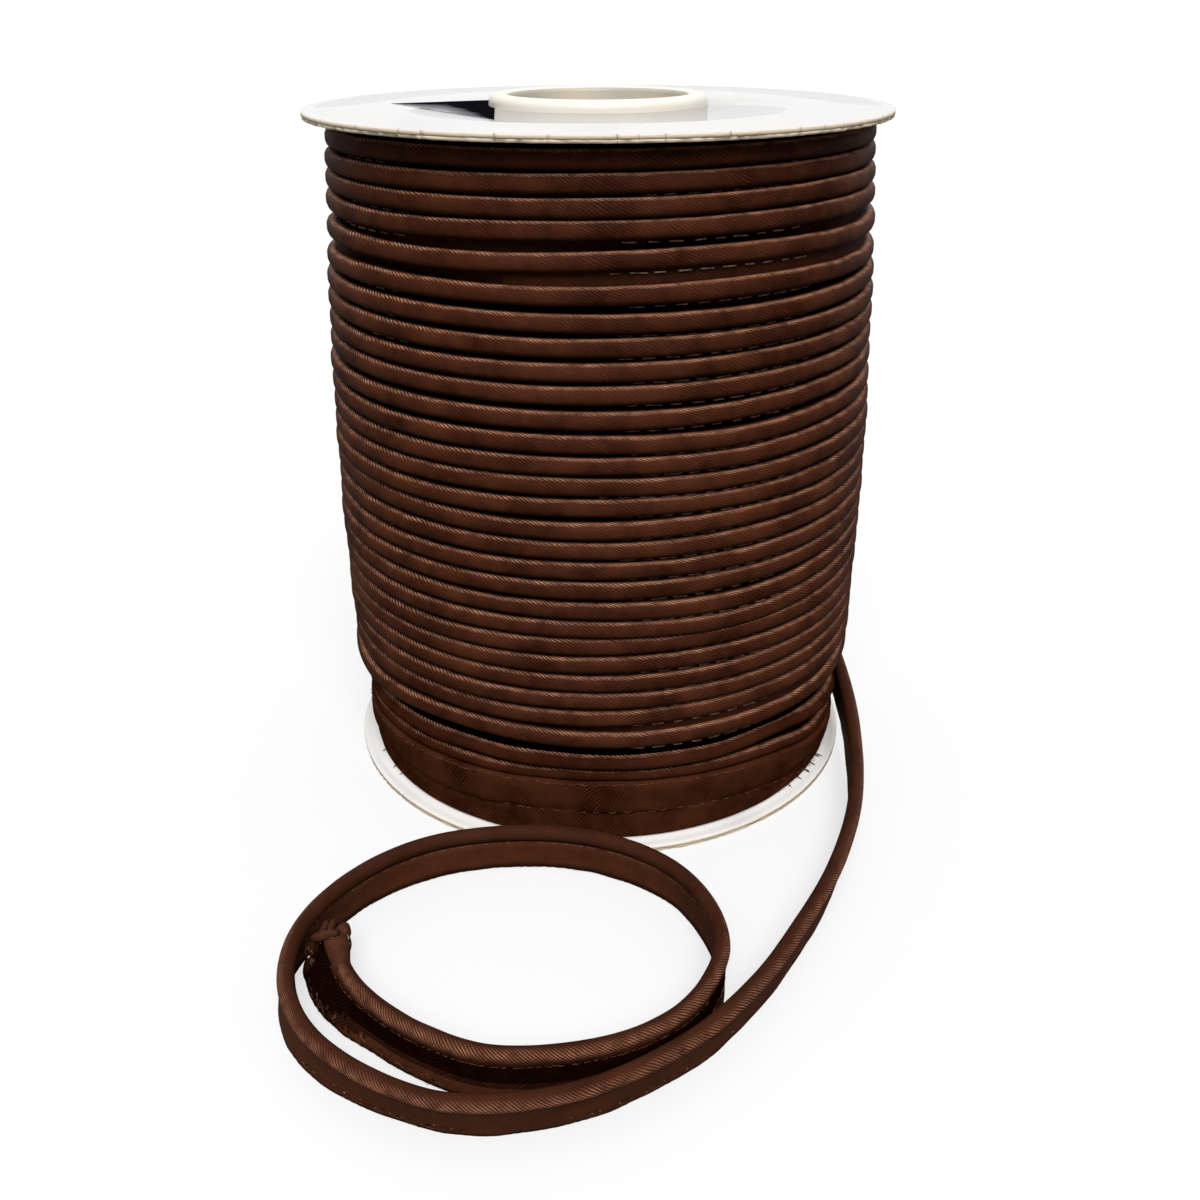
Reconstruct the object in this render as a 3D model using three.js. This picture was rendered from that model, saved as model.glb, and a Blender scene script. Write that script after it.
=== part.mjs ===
// A roll of satin piping trim: a round cord sewn into a folded strip, wound on a card spool.
// The spool stands on its bottom flange and the loose end is laid in a loop in front of it.
// Millimetres, +Z up. The origin is on the spool's axis, on the surface that it stands on.

import * as THREE from 'three';

// Spool: a card tube through two round card flanges
const flangeRadius = 62.5;
const flangeThickness = 1.6;
const flangeEase = 0.35; // the cut edge is rubbed round by this much
const topFaceHeight = 151.5;
const tubeRadius = 23.4;
const boreRadius = 19;
const tubeRise = 2.4; // the tube's rim stands this far above the top flange
const rimRound = 1.7;
const fitGap = 0.3; // between pieces that touch

// Piping: the covered cord is the bead, and the strip's two layers below it are the seam edge
const beadDiameter = 4.1;
const tapeWidth = 10.7;
const seamThickness = 1.1;

// Winding: turns of bead side by side, above a flat band of seam edge at the bottom
const turnCount = 28;
const firstGroove = 21.1;
const lastGroove = 148.9;
const grooveDepth = 1.5;
const shoulderDepth = 0.2; // how far the two shoulders of a bead lie inside its crest
const shoulderPlace = 0.27; // of the pitch, from the groove
const stepOver = 0.1; // of a turn, in which the strand crosses to the next turn at the back
const windingShift = 0.4; // the winding sits this far to the right of the axis

// Outline of the winding over its height: the radius at the crest of the beads
const barrel = [
  { height: 21, radius: 61.2 },
  { height: 27, radius: 61.9 },
  { height: 38, radius: 62.2 },
  { height: 66, radius: 62.3 },
  { height: 90, radius: 61.9 },
  { height: 112, radius: 61.0 },
  { height: 134, radius: 59.4 },
  { height: 150, radius: 58.2 },
];

// Flat band under the lowest beads
const bottomBand = [
  { height: 0, radius: 58.2 },
  { height: 1.5, radius: 59.4 },
  { height: 7, radius: 59.3 },
  { height: 8.2, radius: 60.1 },
  { height: 14.6, radius: 60.2 },
  { height: 16.4, radius: 61 },
  { height: 18, radius: 60.4 },
];
const topBandInset = 0.9;

// Turns that lie unevenly: each pushes the beads round it up or down.
// The angle counts anticlockwise from the back, in turns.
const unevenTurns = [
  { height: 21, angle: 0.32, spanHeight: 5, spanAngle: 0.1, lift: -1.8 },
  { height: 23, angle: 0.67, spanHeight: 5, spanAngle: 0.07, lift: -2 },
  { height: 134, angle: 0.55, spanHeight: 5, spanAngle: 0.12, lift: 0.9 },
  { height: 124, angle: 0.55, spanHeight: 5, spanAngle: 0.12, lift: -0.7 },
];

// Hollow where the loose end has left the winding and the layer below it shows
const exitHollow = { radius: 59.1, angle: 0.744, halfTurn: 0.052, fadeTurn: 0.05 };
const exitHollowSpan = { low: 5, high: 20, fade: 2.5 };

// Route of the loose end, at the middle of its width. lift is the seam edge's height above
// the surface, and lean is how many degrees the bead leans outwards, to the left of the run.
const route = [
  { x: 61.2, y: 9, lift: 8.2, lean: 2 },
  { x: 61.6, y: -3, lift: 7.7, lean: 2 },
  { x: 61.8, y: -14, lift: 6.4, lean: 2 },
  { x: 61.6, y: -24, lift: 4.5, lean: 3 },
  { x: 60.8, y: -34, lift: 2.4, lean: 4 },
  { x: 59.4, y: -44, lift: 0.9, lean: 5 },
  { x: 56.7, y: -56, lift: 0.3, lean: 6 },
  { x: 52.7, y: -68, lift: 0, lean: 6 },
  { x: 47.1, y: -81, lift: 0, lean: 6 },
  { x: 39.3, y: -95, lift: 0, lean: 6 },
  { x: 29.6, y: -109.8, lift: 0, lean: 8 },
  { x: 17.5, y: -123, lift: 0, lean: 10 },
  { x: 2.5, y: -132.9, lift: 0, lean: 12 },
  { x: -11.8, y: -137.4, lift: 0, lean: 13 },
  { x: -26, y: -137.8, lift: 0, lean: 12 },
  { x: -39, y: -133, lift: 0, lean: 8 },
  { x: -50.2, y: -125.3, lift: 0, lean: -1 },
  { x: -57.1, y: -116, lift: 0, lean: -8 },
  { x: -60.1, y: -105.5, lift: 0, lean: -12 },
  { x: -58.8, y: -95, lift: 0, lean: -6 },
  { x: -53.6, y: -84.4, lift: 0, lean: -2 },
  { x: -45.2, y: -75.2, lift: 0, lean: 0 },
  { x: -34, y: -68.9, lift: 0, lean: 0 },
  { x: -20, y: -66.3, lift: 0, lean: 0 },
  { x: -6, y: -67.2, lift: 0, lean: 0 },
  { x: 6.3, y: -71.7, lift: 0, lean: 0 },
  { x: 15.9, y: -79.8, lift: 0, lean: 1 },
  { x: 21.4, y: -90.5, lift: 0, lean: 3 },
  { x: 23.1, y: -101.5, lift: 0, lean: 0 },
  { x: 20.7, y: -111.2, lift: 0, lean: -10 },
  { x: 14.3, y: -119.9, lift: 0, lean: -10 },
  { x: 4.2, y: -126.1, lift: 0, lean: -10 },
  { x: -8.2, y: -129.1, lift: 0, lean: -12 },
  { x: -20.8, y: -128.9, lift: 0, lean: -12 },
  { x: -32.2, y: -124.1, lift: 0, lean: -12 },
  { x: -41, y: -117.9, lift: 0, lean: -15 },
  { x: -46.9, y: -112.4, lift: 0, lean: -28 },
  { x: -51.4, y: -106, lift: 0, lean: -42 },
  { x: -54.4, y: -98.7, lift: 0.5, lean: -48 },
];
const restHeight = 0.2; // the seam edge lies this far above the surface

// Tied end: the cloth gathered in pleats past the end of the cord
const tiedEnd = { across: 3.1, along: 2.2, high: 3.6, pleats: 6, pleatDepth: 0.12, inward: 0.6 };

const flangeSegments = 72;
const tubeSegments = 48;
const windingSegments = 40;
const stepsPerRow = 2;

const cardColour = 0xf1ede4;
const tubeColour = 0xe9e4d8;
const clothColour = 0x4a2616;

function material(colour, roughness) {
  return new THREE.MeshStandardMaterial({ color: colour, roughness, metalness: 0 });
}

// A closed profile of radius and height, turned round the spool's axis, from the back
function turned(profile, segments) {
  const closed = [...profile, profile[0]];
  const points = closed.map(([radius, height]) => new THREE.Vector2(radius, height));
  const geometry = new THREE.LatheGeometry(points, segments, Math.PI);
  geometry.rotateX(Math.PI / 2);
  return geometry;
}

function flangeGeometry(bottom) {
  const hole = tubeRadius + fitGap;
  const top = bottom + flangeThickness;
  return turned([
    [hole, bottom],
    [flangeRadius - flangeEase, bottom],
    [flangeRadius, bottom + flangeEase],
    [flangeRadius, top - flangeEase],
    [flangeRadius - flangeEase, top],
    [hole, top],
  ], flangeSegments);
}

// The tube, with the round rim that shows above the top flange
function tubeGeometry() {
  const rimTop = topFaceHeight + tubeRise;
  const rimSteps = 5;
  const profile = [[boreRadius, 0], [tubeRadius, 0]];
  for (let step = 0; step <= rimSteps; step += 1) {
    const angle = (step / rimSteps) * Math.PI / 2;
    profile.push([
      tubeRadius - rimRound + rimRound * Math.cos(angle),
      rimTop - rimRound + rimRound * Math.sin(angle),
    ]);
  }
  profile.push([boreRadius + rimRound / 2, rimTop]);
  profile.push([boreRadius, rimTop - rimRound / 2]);
  return turned(profile, tubeSegments);
}

// Radius from a table of heights, straight between its rows
function radiusAt(table, height) {
  const last = table[table.length - 1];
  if (height <= table[0].height) return table[0].radius;
  if (height >= last.height) return last.radius;
  const above = table.findIndex((row) => row.height >= height);
  const low = table[above - 1];
  const high = table[above];
  const share = (height - low.height) / (high.height - low.height);
  return THREE.MathUtils.lerp(low.radius, high.radius, share);
}

function windingProfile() {
  const bottom = flangeThickness + fitGap;
  const top = topFaceHeight - flangeThickness - fitGap;
  const inner = tubeRadius + fitGap;
  const pitch = (lastGroove - firstGroove) / turnCount;
  const profile = [[inner, bottom]];
  bottomBand.forEach((row) => profile.push([row.radius, bottom + row.height]));
  for (let turn = 0; turn <= turnCount; turn += 1) {
    const groove = firstGroove + turn * pitch;
    profile.push([radiusAt(barrel, groove) - grooveDepth, groove]);
    if (turn < turnCount) {
      const lower = groove + shoulderPlace * pitch;
      const upper = groove + (1 - shoulderPlace) * pitch;
      profile.push([radiusAt(barrel, lower) - shoulderDepth, lower]);
      profile.push([radiusAt(barrel, upper) - shoulderDepth, upper]);
    }
  }
  profile.push([radiusAt(barrel, top) - topBandInset, top]);
  profile.push([inner, top]);
  return profile;
}

// The turns climb anticlockwise and step back at the back, so that each joins the next one up
function turnClimb(angle, height) {
  const pitch = (lastGroove - firstGroove) / turnCount;
  const run = 1 - stepOver;
  const share = angle < run ? angle / run : (1 - angle) / stepOver;
  const atBottom = THREE.MathUtils.smoothstep(height, firstGroove - pitch, firstGroove + pitch);
  const atTop = 1 - THREE.MathUtils.smoothstep(height, lastGroove - 2 * pitch, lastGroove);
  return (share - 0.5) * pitch * atBottom * atTop;
}

function unevenLift(angle, height) {
  let lift = 0;
  for (const turn of unevenTurns) {
    const across = (angle - turn.angle) / turn.spanAngle;
    const up = (height - turn.height) / turn.spanHeight;
    lift += turn.lift * Math.exp(-across * across - up * up);
  }
  return lift;
}

// 1 inside the hollow by the exit, 0 away from it
function exitShare(angle, height) {
  const away = Math.abs(angle - exitHollow.angle);
  const near = exitHollow.halfTurn;
  const round = 1 - THREE.MathUtils.smoothstep(away, near, near + exitHollow.fadeTurn);
  const { low, high, fade } = exitHollowSpan;
  const above = THREE.MathUtils.smoothstep(height, low - fade, low);
  const below = 1 - THREE.MathUtils.smoothstep(height, high, high + fade);
  return round * above * below;
}

function windingGeometry() {
  const geometry = turned(windingProfile(), windingSegments);
  const place = geometry.attributes.position;
  const point = new THREE.Vector3();
  const inside = tubeRadius + 2 * fitGap;
  for (let index = 0; index < place.count; index += 1) {
    point.fromBufferAttribute(place, index);
    const radius = Math.hypot(point.x, point.y);
    if (radius < inside) continue;
    const fromBack = Math.atan2(-point.x, point.y) / (2 * Math.PI);
    const angle = (Math.round(fromBack * windingSegments) / windingSegments + 1) % 1;
    const height = point.z;
    const raised = height + turnClimb(angle, height) + unevenLift(angle, height);
    const hollowed = Math.min(radius, exitHollow.radius);
    const share = exitShare(angle, raised);
    const scale = THREE.MathUtils.lerp(radius, hollowed, share) / radius;
    const shift = windingShift * (1 - share);
    place.setXYZ(index, point.x * scale + shift, point.y * scale, raised);
  }
  return geometry;
}

// The piping's section: the seam edge as a flat stem with the bead round its top
function pipingSection() {
  const half = seamThickness / 2;
  const beadRadius = beadDiameter / 2;
  const beadHeight = tapeWidth / 2 - beadRadius;
  const beadSides = 7;
  const neck = beadHeight - Math.sqrt(beadRadius * beadRadius - half * half);
  const shape = new THREE.Shape();
  shape.moveTo(-half, -tapeWidth / 2);
  shape.lineTo(half, -tapeWidth / 2);
  shape.lineTo(half, neck);
  for (let side = 0; side < beadSides; side += 1) {
    const angle = (-45 + side * 45) * Math.PI / 180;
    shape.lineTo(beadRadius * Math.cos(angle), beadHeight + beadRadius * Math.sin(angle));
  }
  shape.lineTo(-half, neck);
  shape.closePath();
  return shape;
}

const planCurve = new THREE.CatmullRomCurve3(
  route.map((row) => new THREE.Vector3(row.x, row.y, 0)), false, 'catmullrom', 0.5);
const poseCurve = new THREE.CatmullRomCurve3(
  route.map((row) => new THREE.Vector3(row.lift, row.lean, 0)), false, 'catmullrom', 0.5);

function routeCentre(share) {
  const centre = planCurve.getPoint(share);
  const pose = poseCurve.getPoint(share);
  const lean = pose.y * Math.PI / 180;
  const halfHeight = tapeWidth / 2 * Math.cos(lean) + seamThickness / 2 * Math.abs(Math.sin(lean));
  centre.z = restHeight + Math.max(pose.x, 0) + halfHeight;
  return { centre, lean };
}

// Place and directions of the strip at a share of its route
function routeFrame(share) {
  const reach = 0.002;
  const { centre, lean } = routeCentre(share);
  const ahead = routeCentre(Math.min(share + reach, 1)).centre;
  const behind = routeCentre(Math.max(share - reach, 0)).centre;
  const along = ahead.sub(behind).normalize();
  const left = new THREE.Vector3(0, 0, 1).cross(along).normalize();
  const upright = along.clone().cross(left);
  const up = upright.multiplyScalar(Math.cos(lean)).addScaledVector(left, Math.sin(lean));
  const side = up.clone().cross(along);
  return { centre, along, up, side };
}

function looseEndGeometry() {
  const steps = (route.length - 1) * stepsPerRow;
  const settings = { depth: 1, steps, bevelEnabled: false };
  const geometry = new THREE.ExtrudeGeometry(pipingSection(), settings);
  const place = geometry.attributes.position;
  const point = new THREE.Vector3();
  for (let index = 0; index < place.count; index += 1) {
    point.fromBufferAttribute(place, index);
    const { centre, up, side } = routeFrame(Math.round(point.z * steps) / steps);
    centre.addScaledVector(side, point.x).addScaledVector(up, point.y);
    place.setXYZ(index, centre.x, centre.y, centre.z);
  }
  return geometry;
}

// A small pleated bunch against the strip's end face
function tiedEndGeometry() {
  const geometry = new THREE.SphereGeometry(1, 24, 12);
  const place = geometry.attributes.position;
  const { centre, along, side } = routeFrame(1);
  const middle = centre.clone();
  middle.addScaledVector(along, tiedEnd.along + fitGap);
  middle.addScaledVector(side, -tiedEnd.inward);
  middle.z = restHeight + tiedEnd.high * (1 + tiedEnd.pleatDepth);
  const flat = new THREE.Vector3(0, 0, 1).cross(along).normalize();
  const point = new THREE.Vector3();
  for (let index = 0; index < place.count; index += 1) {
    point.fromBufferAttribute(place, index);
    const turn = Math.atan2(point.x, point.z);
    const pleat = 1 + tiedEnd.pleatDepth * Math.cos(tiedEnd.pleats * turn);
    const spot = middle.clone();
    spot.addScaledVector(flat, point.x * pleat * tiedEnd.across);
    spot.addScaledVector(along, -point.y * tiedEnd.along);
    spot.z += point.z * pleat * tiedEnd.high;
    place.setXYZ(index, spot.x, spot.y, spot.z);
  }
  return geometry;
}

function piece(name, geometry, finish) {
  const mesh = new THREE.Mesh(geometry, finish);
  mesh.name = name;
  return mesh;
}

const roll = new THREE.Group();
roll.add(piece('flange_bottom', flangeGeometry(0), material(cardColour, 0.4)));
roll.add(piece('flange_top', flangeGeometry(topFaceHeight - flangeThickness), material(cardColour, 0.4)));
roll.add(piece('core_tube', tubeGeometry(), material(tubeColour, 0.5)));
roll.add(piece('winding', windingGeometry(), material(clothColour, 0.6)));
roll.add(piece('loose_end', looseEndGeometry(), material(clothColour, 0.6)));
roll.add(piece('tied_end', tiedEndGeometry(), material(clothColour, 0.6)));

export default roll;
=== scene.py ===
# A roll of satin piping trim on a card spool, standing on its flange, with its loose end in a loop.
# Metres, +Z up. The spool's axis is the Z axis and the roll stands on z = 0.

import math

import bpy
import numpy as np
from mathutils import Matrix, Vector


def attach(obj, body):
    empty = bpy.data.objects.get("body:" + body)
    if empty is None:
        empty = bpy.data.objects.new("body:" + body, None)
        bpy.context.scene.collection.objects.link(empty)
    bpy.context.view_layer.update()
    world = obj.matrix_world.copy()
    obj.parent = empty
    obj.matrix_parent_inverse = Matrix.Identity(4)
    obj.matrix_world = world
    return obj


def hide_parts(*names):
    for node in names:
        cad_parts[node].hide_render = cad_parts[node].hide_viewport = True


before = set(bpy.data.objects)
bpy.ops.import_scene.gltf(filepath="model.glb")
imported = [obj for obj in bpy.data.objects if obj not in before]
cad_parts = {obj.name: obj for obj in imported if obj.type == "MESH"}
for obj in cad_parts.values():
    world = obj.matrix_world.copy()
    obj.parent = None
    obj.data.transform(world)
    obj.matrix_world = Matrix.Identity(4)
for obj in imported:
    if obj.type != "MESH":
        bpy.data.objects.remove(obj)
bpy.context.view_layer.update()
mm = 0.001

# Camera: where it stands, how far it looks down and its small tilt, in metres and degrees
camera = {
    "place": (0.0, -0.28373, 0.17299),
    "lookDown": 26.28,
    "tilt": -0.223,
    "lens": 36.909,
    "sensor": 36.0,
}


def makeCamera(spec):
    data = bpy.data.cameras.new("camera")
    data.lens = spec["lens"]
    data.sensor_width = spec["sensor"]
    data.clip_start = 0.01
    data.clip_end = 200
    stand = bpy.data.objects.new("camera", data)
    down = Matrix.Rotation(math.radians(90 - spec["lookDown"]), 4, "X")
    roll = Matrix.Rotation(math.radians(spec["tilt"]), 4, "Z")
    stand.matrix_world = Matrix.Translation(spec["place"]) @ down @ roll
    bpy.context.scene.collection.objects.link(stand)
    bpy.context.scene.camera = stand


makeCamera(camera)
print("camera placed")


# Mesh making

def smoothStep(low, high, value):
    share = np.clip((value - low) / (high - low), 0, 1)
    return share * share * (3 - 2 * share)


# A smooth random line of waves that are about one to five reaches long
def wander(places, reach, seed):
    random = np.random.default_rng(seed)
    line = np.zeros_like(np.asarray(places, float))
    waves = 9
    for _ in range(waves):
        length = reach * random.uniform(1.2, 5.5)
        line += np.sin(2 * math.pi * (places / length + random.uniform()))
    return line * math.sqrt(2 / waves)


def normalised(vectors):
    return vectors / np.linalg.norm(vectors, axis=-1, keepdims=True)


# Distances along a line of points
def lengthAlong(points):
    return np.concatenate([[0], np.cumsum(np.linalg.norm(np.diff(points, axis=0), axis=1))])


# Distances round a section, back to its first point
def aroundOf(section):
    return lengthAlong(np.vstack([section, section[:1]]))


# Points round the Z axis at turns in radians
def roundAxis(turn, radius, height, shift=0.0):
    return np.stack([radius * np.cos(turn) + shift, radius * np.sin(turn), height + 0 * turn], -1)


# Skins rings of points: one ring for each step, joined to the next one. The strip's own
# measures go into the UV map: the length along it and the distance round its section.
# Zones pick the material by side, or by step and side.
def sweep(name, rings, along, around, zones, materials, loop=False, smooth=True):
    steps, sides = rings.shape[:2]
    i = np.arange(steps if loop else steps - 1)[:, None]
    j = np.arange(sides)[None, :]
    near = i * sides
    far = (i + 1) % steps * sides
    beside = (j + 1) % sides
    quads = np.stack([near + j, near + beside, far + beside, far + j], -1).reshape(-1, 4)
    here, ahead = along[i] + 0 * j, along[i + 1] + 0 * j
    low, high = around[j] + 0 * i, around[j + 1] + 0 * i
    uv = np.stack([here, low, here, high, ahead, high, ahead, low], -1).reshape(-1, 4, 2)
    points = rings.reshape(-1, 3)
    corner = points[quads]
    volume = np.einsum("ij,ij->", corner[:, 0], np.cross(corner[:, 1], corner[:, 2]))
    volume += np.einsum("ij,ij->", corner[:, 0], np.cross(corner[:, 2], corner[:, 3]))
    caps = [] if loop else [list(range(sides))[::-1], list(range((steps - 1) * sides, steps * sides))]
    if volume < 0:
        quads = quads[:, ::-1]
        uv = uv[:, ::-1]
        caps = [cap[::-1] for cap in caps]
    faces = quads.tolist() + caps
    corners = np.concatenate([uv.reshape(-1, 2), np.zeros((len(caps) * sides, 2))])
    zone = np.broadcast_to(np.asarray(zones, int), (len(i), sides)).ravel().tolist()
    return meshPiece(name, points, faces, corners, zone + zone[:1] * len(caps), materials, smooth)


def meshPiece(name, points, faces, corners, zone, materials, smooth=True):
    mesh = bpy.data.meshes.new(name)
    mesh.from_pydata(points.tolist(), [], faces)
    if corners is not None:
        layer = mesh.uv_layers.new(name="strip")
        layer.data.foreach_set("uv", np.ascontiguousarray(corners, np.float32).ravel())
    for material in materials:
        mesh.materials.append(material)
    if zone is not None:
        mesh.polygons.foreach_set("material_index", zone)
    mesh.polygons.foreach_set("use_smooth", [smooth] * len(mesh.polygons))
    mesh.update()
    piece = bpy.data.objects.new(name, mesh)
    bpy.context.scene.collection.objects.link(piece)
    return piece


# The faces of one body, repeated for a count of bodies with so many points each
def repeated(faces, points, count):
    return [[corner + body * points for corner in face] for body in range(count) for face in faces]


# Thin rods with pointed ends, joined in one mesh: middles, directions and half lengths
def rods(name, middles, directions, halves, radius, material, sides=5):
    turn = np.arange(sides) * 2 * math.pi / sides
    taper = 0.82  # of the half length, from where the ends run to a point
    shape = [(end, math.cos(t), math.sin(t)) for end in (-taper, taper) for t in turn]
    shape = np.array([(-1, 0, 0)] + shape + [(1, 0, 0)])
    along = normalised(directions)
    aside = np.where(np.abs(along[:, 2:3]) < 0.9, [[0, 0, 1.0]], [[1.0, 0, 0]])
    first = normalised(np.cross(along, aside))
    second = np.cross(along, first)
    points = middles[:, None] + along[:, None] * (shape[:, 0:1] * halves[:, None, None])
    points = points + radius * (first[:, None] * shape[:, 1:2] + second[:, None] * shape[:, 2:3])
    one = []
    last = 2 * sides + 1
    for side in range(sides):
        after = (side + 1) % sides
        one.append([0, 1 + after, 1 + side])
        one.append([1 + side, 1 + after, 1 + sides + after, 1 + sides + side])
        one.append([1 + sides + side, 1 + sides + after, last])
    faces = repeated(one, len(shape), len(middles))
    return meshPiece(name, points.reshape(-1, 3), faces, None, None, [material])


# Thin fibres along lines of points (fibre, point, axis), joined in one mesh
def fibres(name, lines, radius, material, sides=4):
    count, steps = lines.shape[:2]
    along = normalised(np.gradient(lines, axis=1))
    aside = [0.31, 0.22, 0.93]  # a way that no fibre runs
    first = normalised(np.cross(along, aside))
    second = np.cross(along, first)
    turn = np.arange(sides) * 2 * math.pi / sides
    size = radius * np.sin(math.pi * np.linspace(0.12, 0.88, steps)) ** 0.5  # thinner at both ends
    ring = first[:, :, None] * np.cos(turn)[:, None] + second[:, :, None] * np.sin(turn)[:, None]
    points = lines[:, :, None] + ring * size[:, None, None]
    one = []
    for near in range(0, (steps - 1) * sides, sides):
        for side in range(sides):
            after = (side + 1) % sides
            one.append([near + side, near + after, near + sides + after, near + sides + side])
    one += [list(range(sides))[::-1], list(range((steps - 1) * sides, steps * sides))]
    faces = repeated(one, steps * sides, count)
    return meshPiece(name, points.reshape(-1, 3), faces, None, None, [material])


# Node helpers

def addNode(tree, kind, **values):
    made = tree.nodes.new(kind)
    for key, value in values.items():
        setattr(made, key, value)
    return made


def feed(tree, socket, value):
    if isinstance(value, bpy.types.NodeSocket):
        tree.links.new(value, socket)
    else:
        socket.default_value = value


def fill(tree, node, values):
    for label, value in values.items():
        feed(tree, node.inputs[label], value)


def calc(tree, operation, first, second=0.0):
    made = addNode(tree, "ShaderNodeMath", operation=operation)
    feed(tree, made.inputs[0], first)
    feed(tree, made.inputs[1], second)
    return made.outputs[0]


def noise(tree, vector, scale, detail):
    made = addNode(tree, "ShaderNodeTexNoise")
    fill(tree, made, {"Vector": vector, "Scale": scale, "Detail": detail})
    return made.outputs["Fac"]


# Noise that sways about zero, up to half the reach to each side
def sway(tree, share, reach):
    return calc(tree, "MULTIPLY", calc(tree, "SUBTRACT", share, 0.5), reach)


def stretched(tree, vector, scale):
    made = addNode(tree, "ShaderNodeVectorMath", operation="MULTIPLY")
    feed(tree, made.inputs[0], vector)
    feed(tree, made.inputs[1], scale)
    return made.outputs[0]


def splitUp(tree, vector):
    made = addNode(tree, "ShaderNodeSeparateXYZ")
    feed(tree, made.inputs[0], vector)
    return made.outputs


def stripOf(tree):
    return addNode(tree, "ShaderNodeUVMap", uv_map="strip").outputs["UV"]


def placeOf(tree):
    return addNode(tree, "ShaderNodeNewGeometry").outputs["Position"]


def spread(tree, value, low, high, toLow=0.0, toHigh=1.0):
    made = addNode(tree, "ShaderNodeMapRange")
    fill(tree, made, {"Value": value, "From Min": low, "From Max": high, "To Min": toLow, "To Max": toHigh})
    return made.outputs["Result"]


def blendColour(tree, share, first, second):
    made = addNode(tree, "ShaderNodeMix", data_type="RGBA")
    feed(tree, made.inputs["Factor"], share)
    feed(tree, made.inputs[6], first)
    feed(tree, made.inputs[7], second)
    return made.outputs[2]


def newGroup(name, inputs, outputs):
    group = bpy.data.node_groups.new(name, "ShaderNodeTree")
    for label, kind, value in inputs:
        socket = group.interface.new_socket(label, in_out="INPUT", socket_type=kind)
        if value is not None:
            socket.default_value = value
    for label in outputs:
        group.interface.new_socket(label, in_out="OUTPUT", socket_type="NodeSocketFloat")
    return group, addNode(group, "NodeGroupInput"), addNode(group, "NodeGroupOutput")


# Slanting ribs of a bias-cut satin: Strip is the length along the strip and the way round it
def ribGroup():
    group, start, end = newGroup("biasRibs", [
        ("Strip", "NodeSocketVector", None),
        ("Spacing", "NodeSocketFloat", 0.65 * mm),
        ("Slant", "NodeSocketFloat", 0.66),
        ("Wander", "NodeSocketFloat", 0.6),
    ], ["Height", "Tone"])
    strip = start.outputs["Strip"]
    split = splitUp(group, strip)
    across = calc(group, "MULTIPLY", split["X"], calc(group, "SINE", start.outputs["Slant"]))
    upward = calc(group, "MULTIPLY", split["Y"], calc(group, "COSINE", start.outputs["Slant"]))
    line = calc(group, "DIVIDE", calc(group, "ADD", across, upward), start.outputs["Spacing"])
    bend = sway(group, noise(group, strip, 130, 3), calc(group, "MULTIPLY", start.outputs["Wander"], 4.0))
    phase = calc(group, "FRACT", calc(group, "ADD", line, bend))
    skewed = calc(group, "POWER", phase, 0.62)  # steeper on one side
    arch = calc(group, "SINE", calc(group, "MULTIPLY", skewed, math.pi))
    ridge = calc(group, "POWER", arch, 0.7)
    strong = spread(group, noise(group, strip, 360, 3), 0.32, 0.66, 0.25, 1.0)
    feed(group, end.inputs["Height"], calc(group, "MULTIPLY", ridge, strong))
    # Tone is the ribs' weave pattern, with a painted highlight on their tops and painted shade between them
    tone = calc(group, "MULTIPLY", spread(group, arch, 0.35, 0.97), strong)
    feed(group, end.inputs["Tone"], tone)
    return group


# Fine yarn lines along the ribs, and soft patches of lighter and darker dye
def grainGroup():
    group, start, end = newGroup("yarnGrain", [
        ("Strip", "NodeSocketVector", None),
        ("Place", "NodeSocketVector", None),
    ], ["Fine", "Patches"])
    strip = start.outputs["Strip"]
    fine = noise(group, stretched(group, strip, (1800, 5200, 1)), 1.0, 2)
    feed(group, end.inputs["Fine"], spread(group, fine, 0.3, 0.7))
    patches = noise(group, start.outputs["Place"], 90, 3)
    feed(group, end.inputs["Patches"], spread(group, patches, 0.35, 0.65))
    return group


# Painted highlight on a bead's crest and the painted shade under it, by the way round the strip's section
def crestGroup():
    group, start, end = newGroup("beadCrest", [
        ("Strip", "NodeSocketVector", None),
        ("Crest", "NodeSocketFloat", 9.2 * mm),
        ("Reach", "NodeSocketFloat", 0.8 * mm),
        ("Foot", "NodeSocketFloat", 5.2 * mm),
    ], ["Worn", "Shade"])
    strip = start.outputs["Strip"]
    bend = sway(group, noise(group, strip, 130, 2), 1.1 * mm)
    place = calc(group, "ADD", splitUp(group, strip)["Y"], bend)
    away = calc(group, "ABSOLUTE", calc(group, "SUBTRACT", place, start.outputs["Crest"]))
    paintedHighlight = calc(group, "SUBTRACT", 1.0, calc(group, "DIVIDE", away, start.outputs["Reach"]))
    feed(group, end.inputs["Worn"], calc(group, "MAXIMUM", paintedHighlight, 0.0))
    above = calc(group, "DIVIDE", calc(group, "SUBTRACT", place, start.outputs["Foot"]), 1.3 * mm)
    feed(group, end.inputs["Shade"], spread(group, above, 0.0, 1.0, 1.0, 0.0))
    return group


biasRibs = ribGroup()
yarnGrain = grainGroup()
beadCrest = crestGroup()


def placeGroup(tree, group, values):
    made = addNode(tree, "ShaderNodeGroup", node_tree=group)
    fill(tree, made, values)
    return made.outputs


def newMaterial(name, roughness, specular):
    material = bpy.data.materials.new(name)
    material.use_nodes = True
    tree = material.node_tree
    shader = tree.nodes["Principled BSDF"]
    fill(tree, shader, {"Roughness": roughness, "Specular IOR Level": specular})
    return material, tree, shader


def bump(tree, shader, height, distance):
    made = addNode(tree, "ShaderNodeBump")
    fill(tree, made, {"Distance": distance, "Height": height})
    tree.links.new(made.outputs["Normal"], shader.inputs["Normal"])
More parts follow.
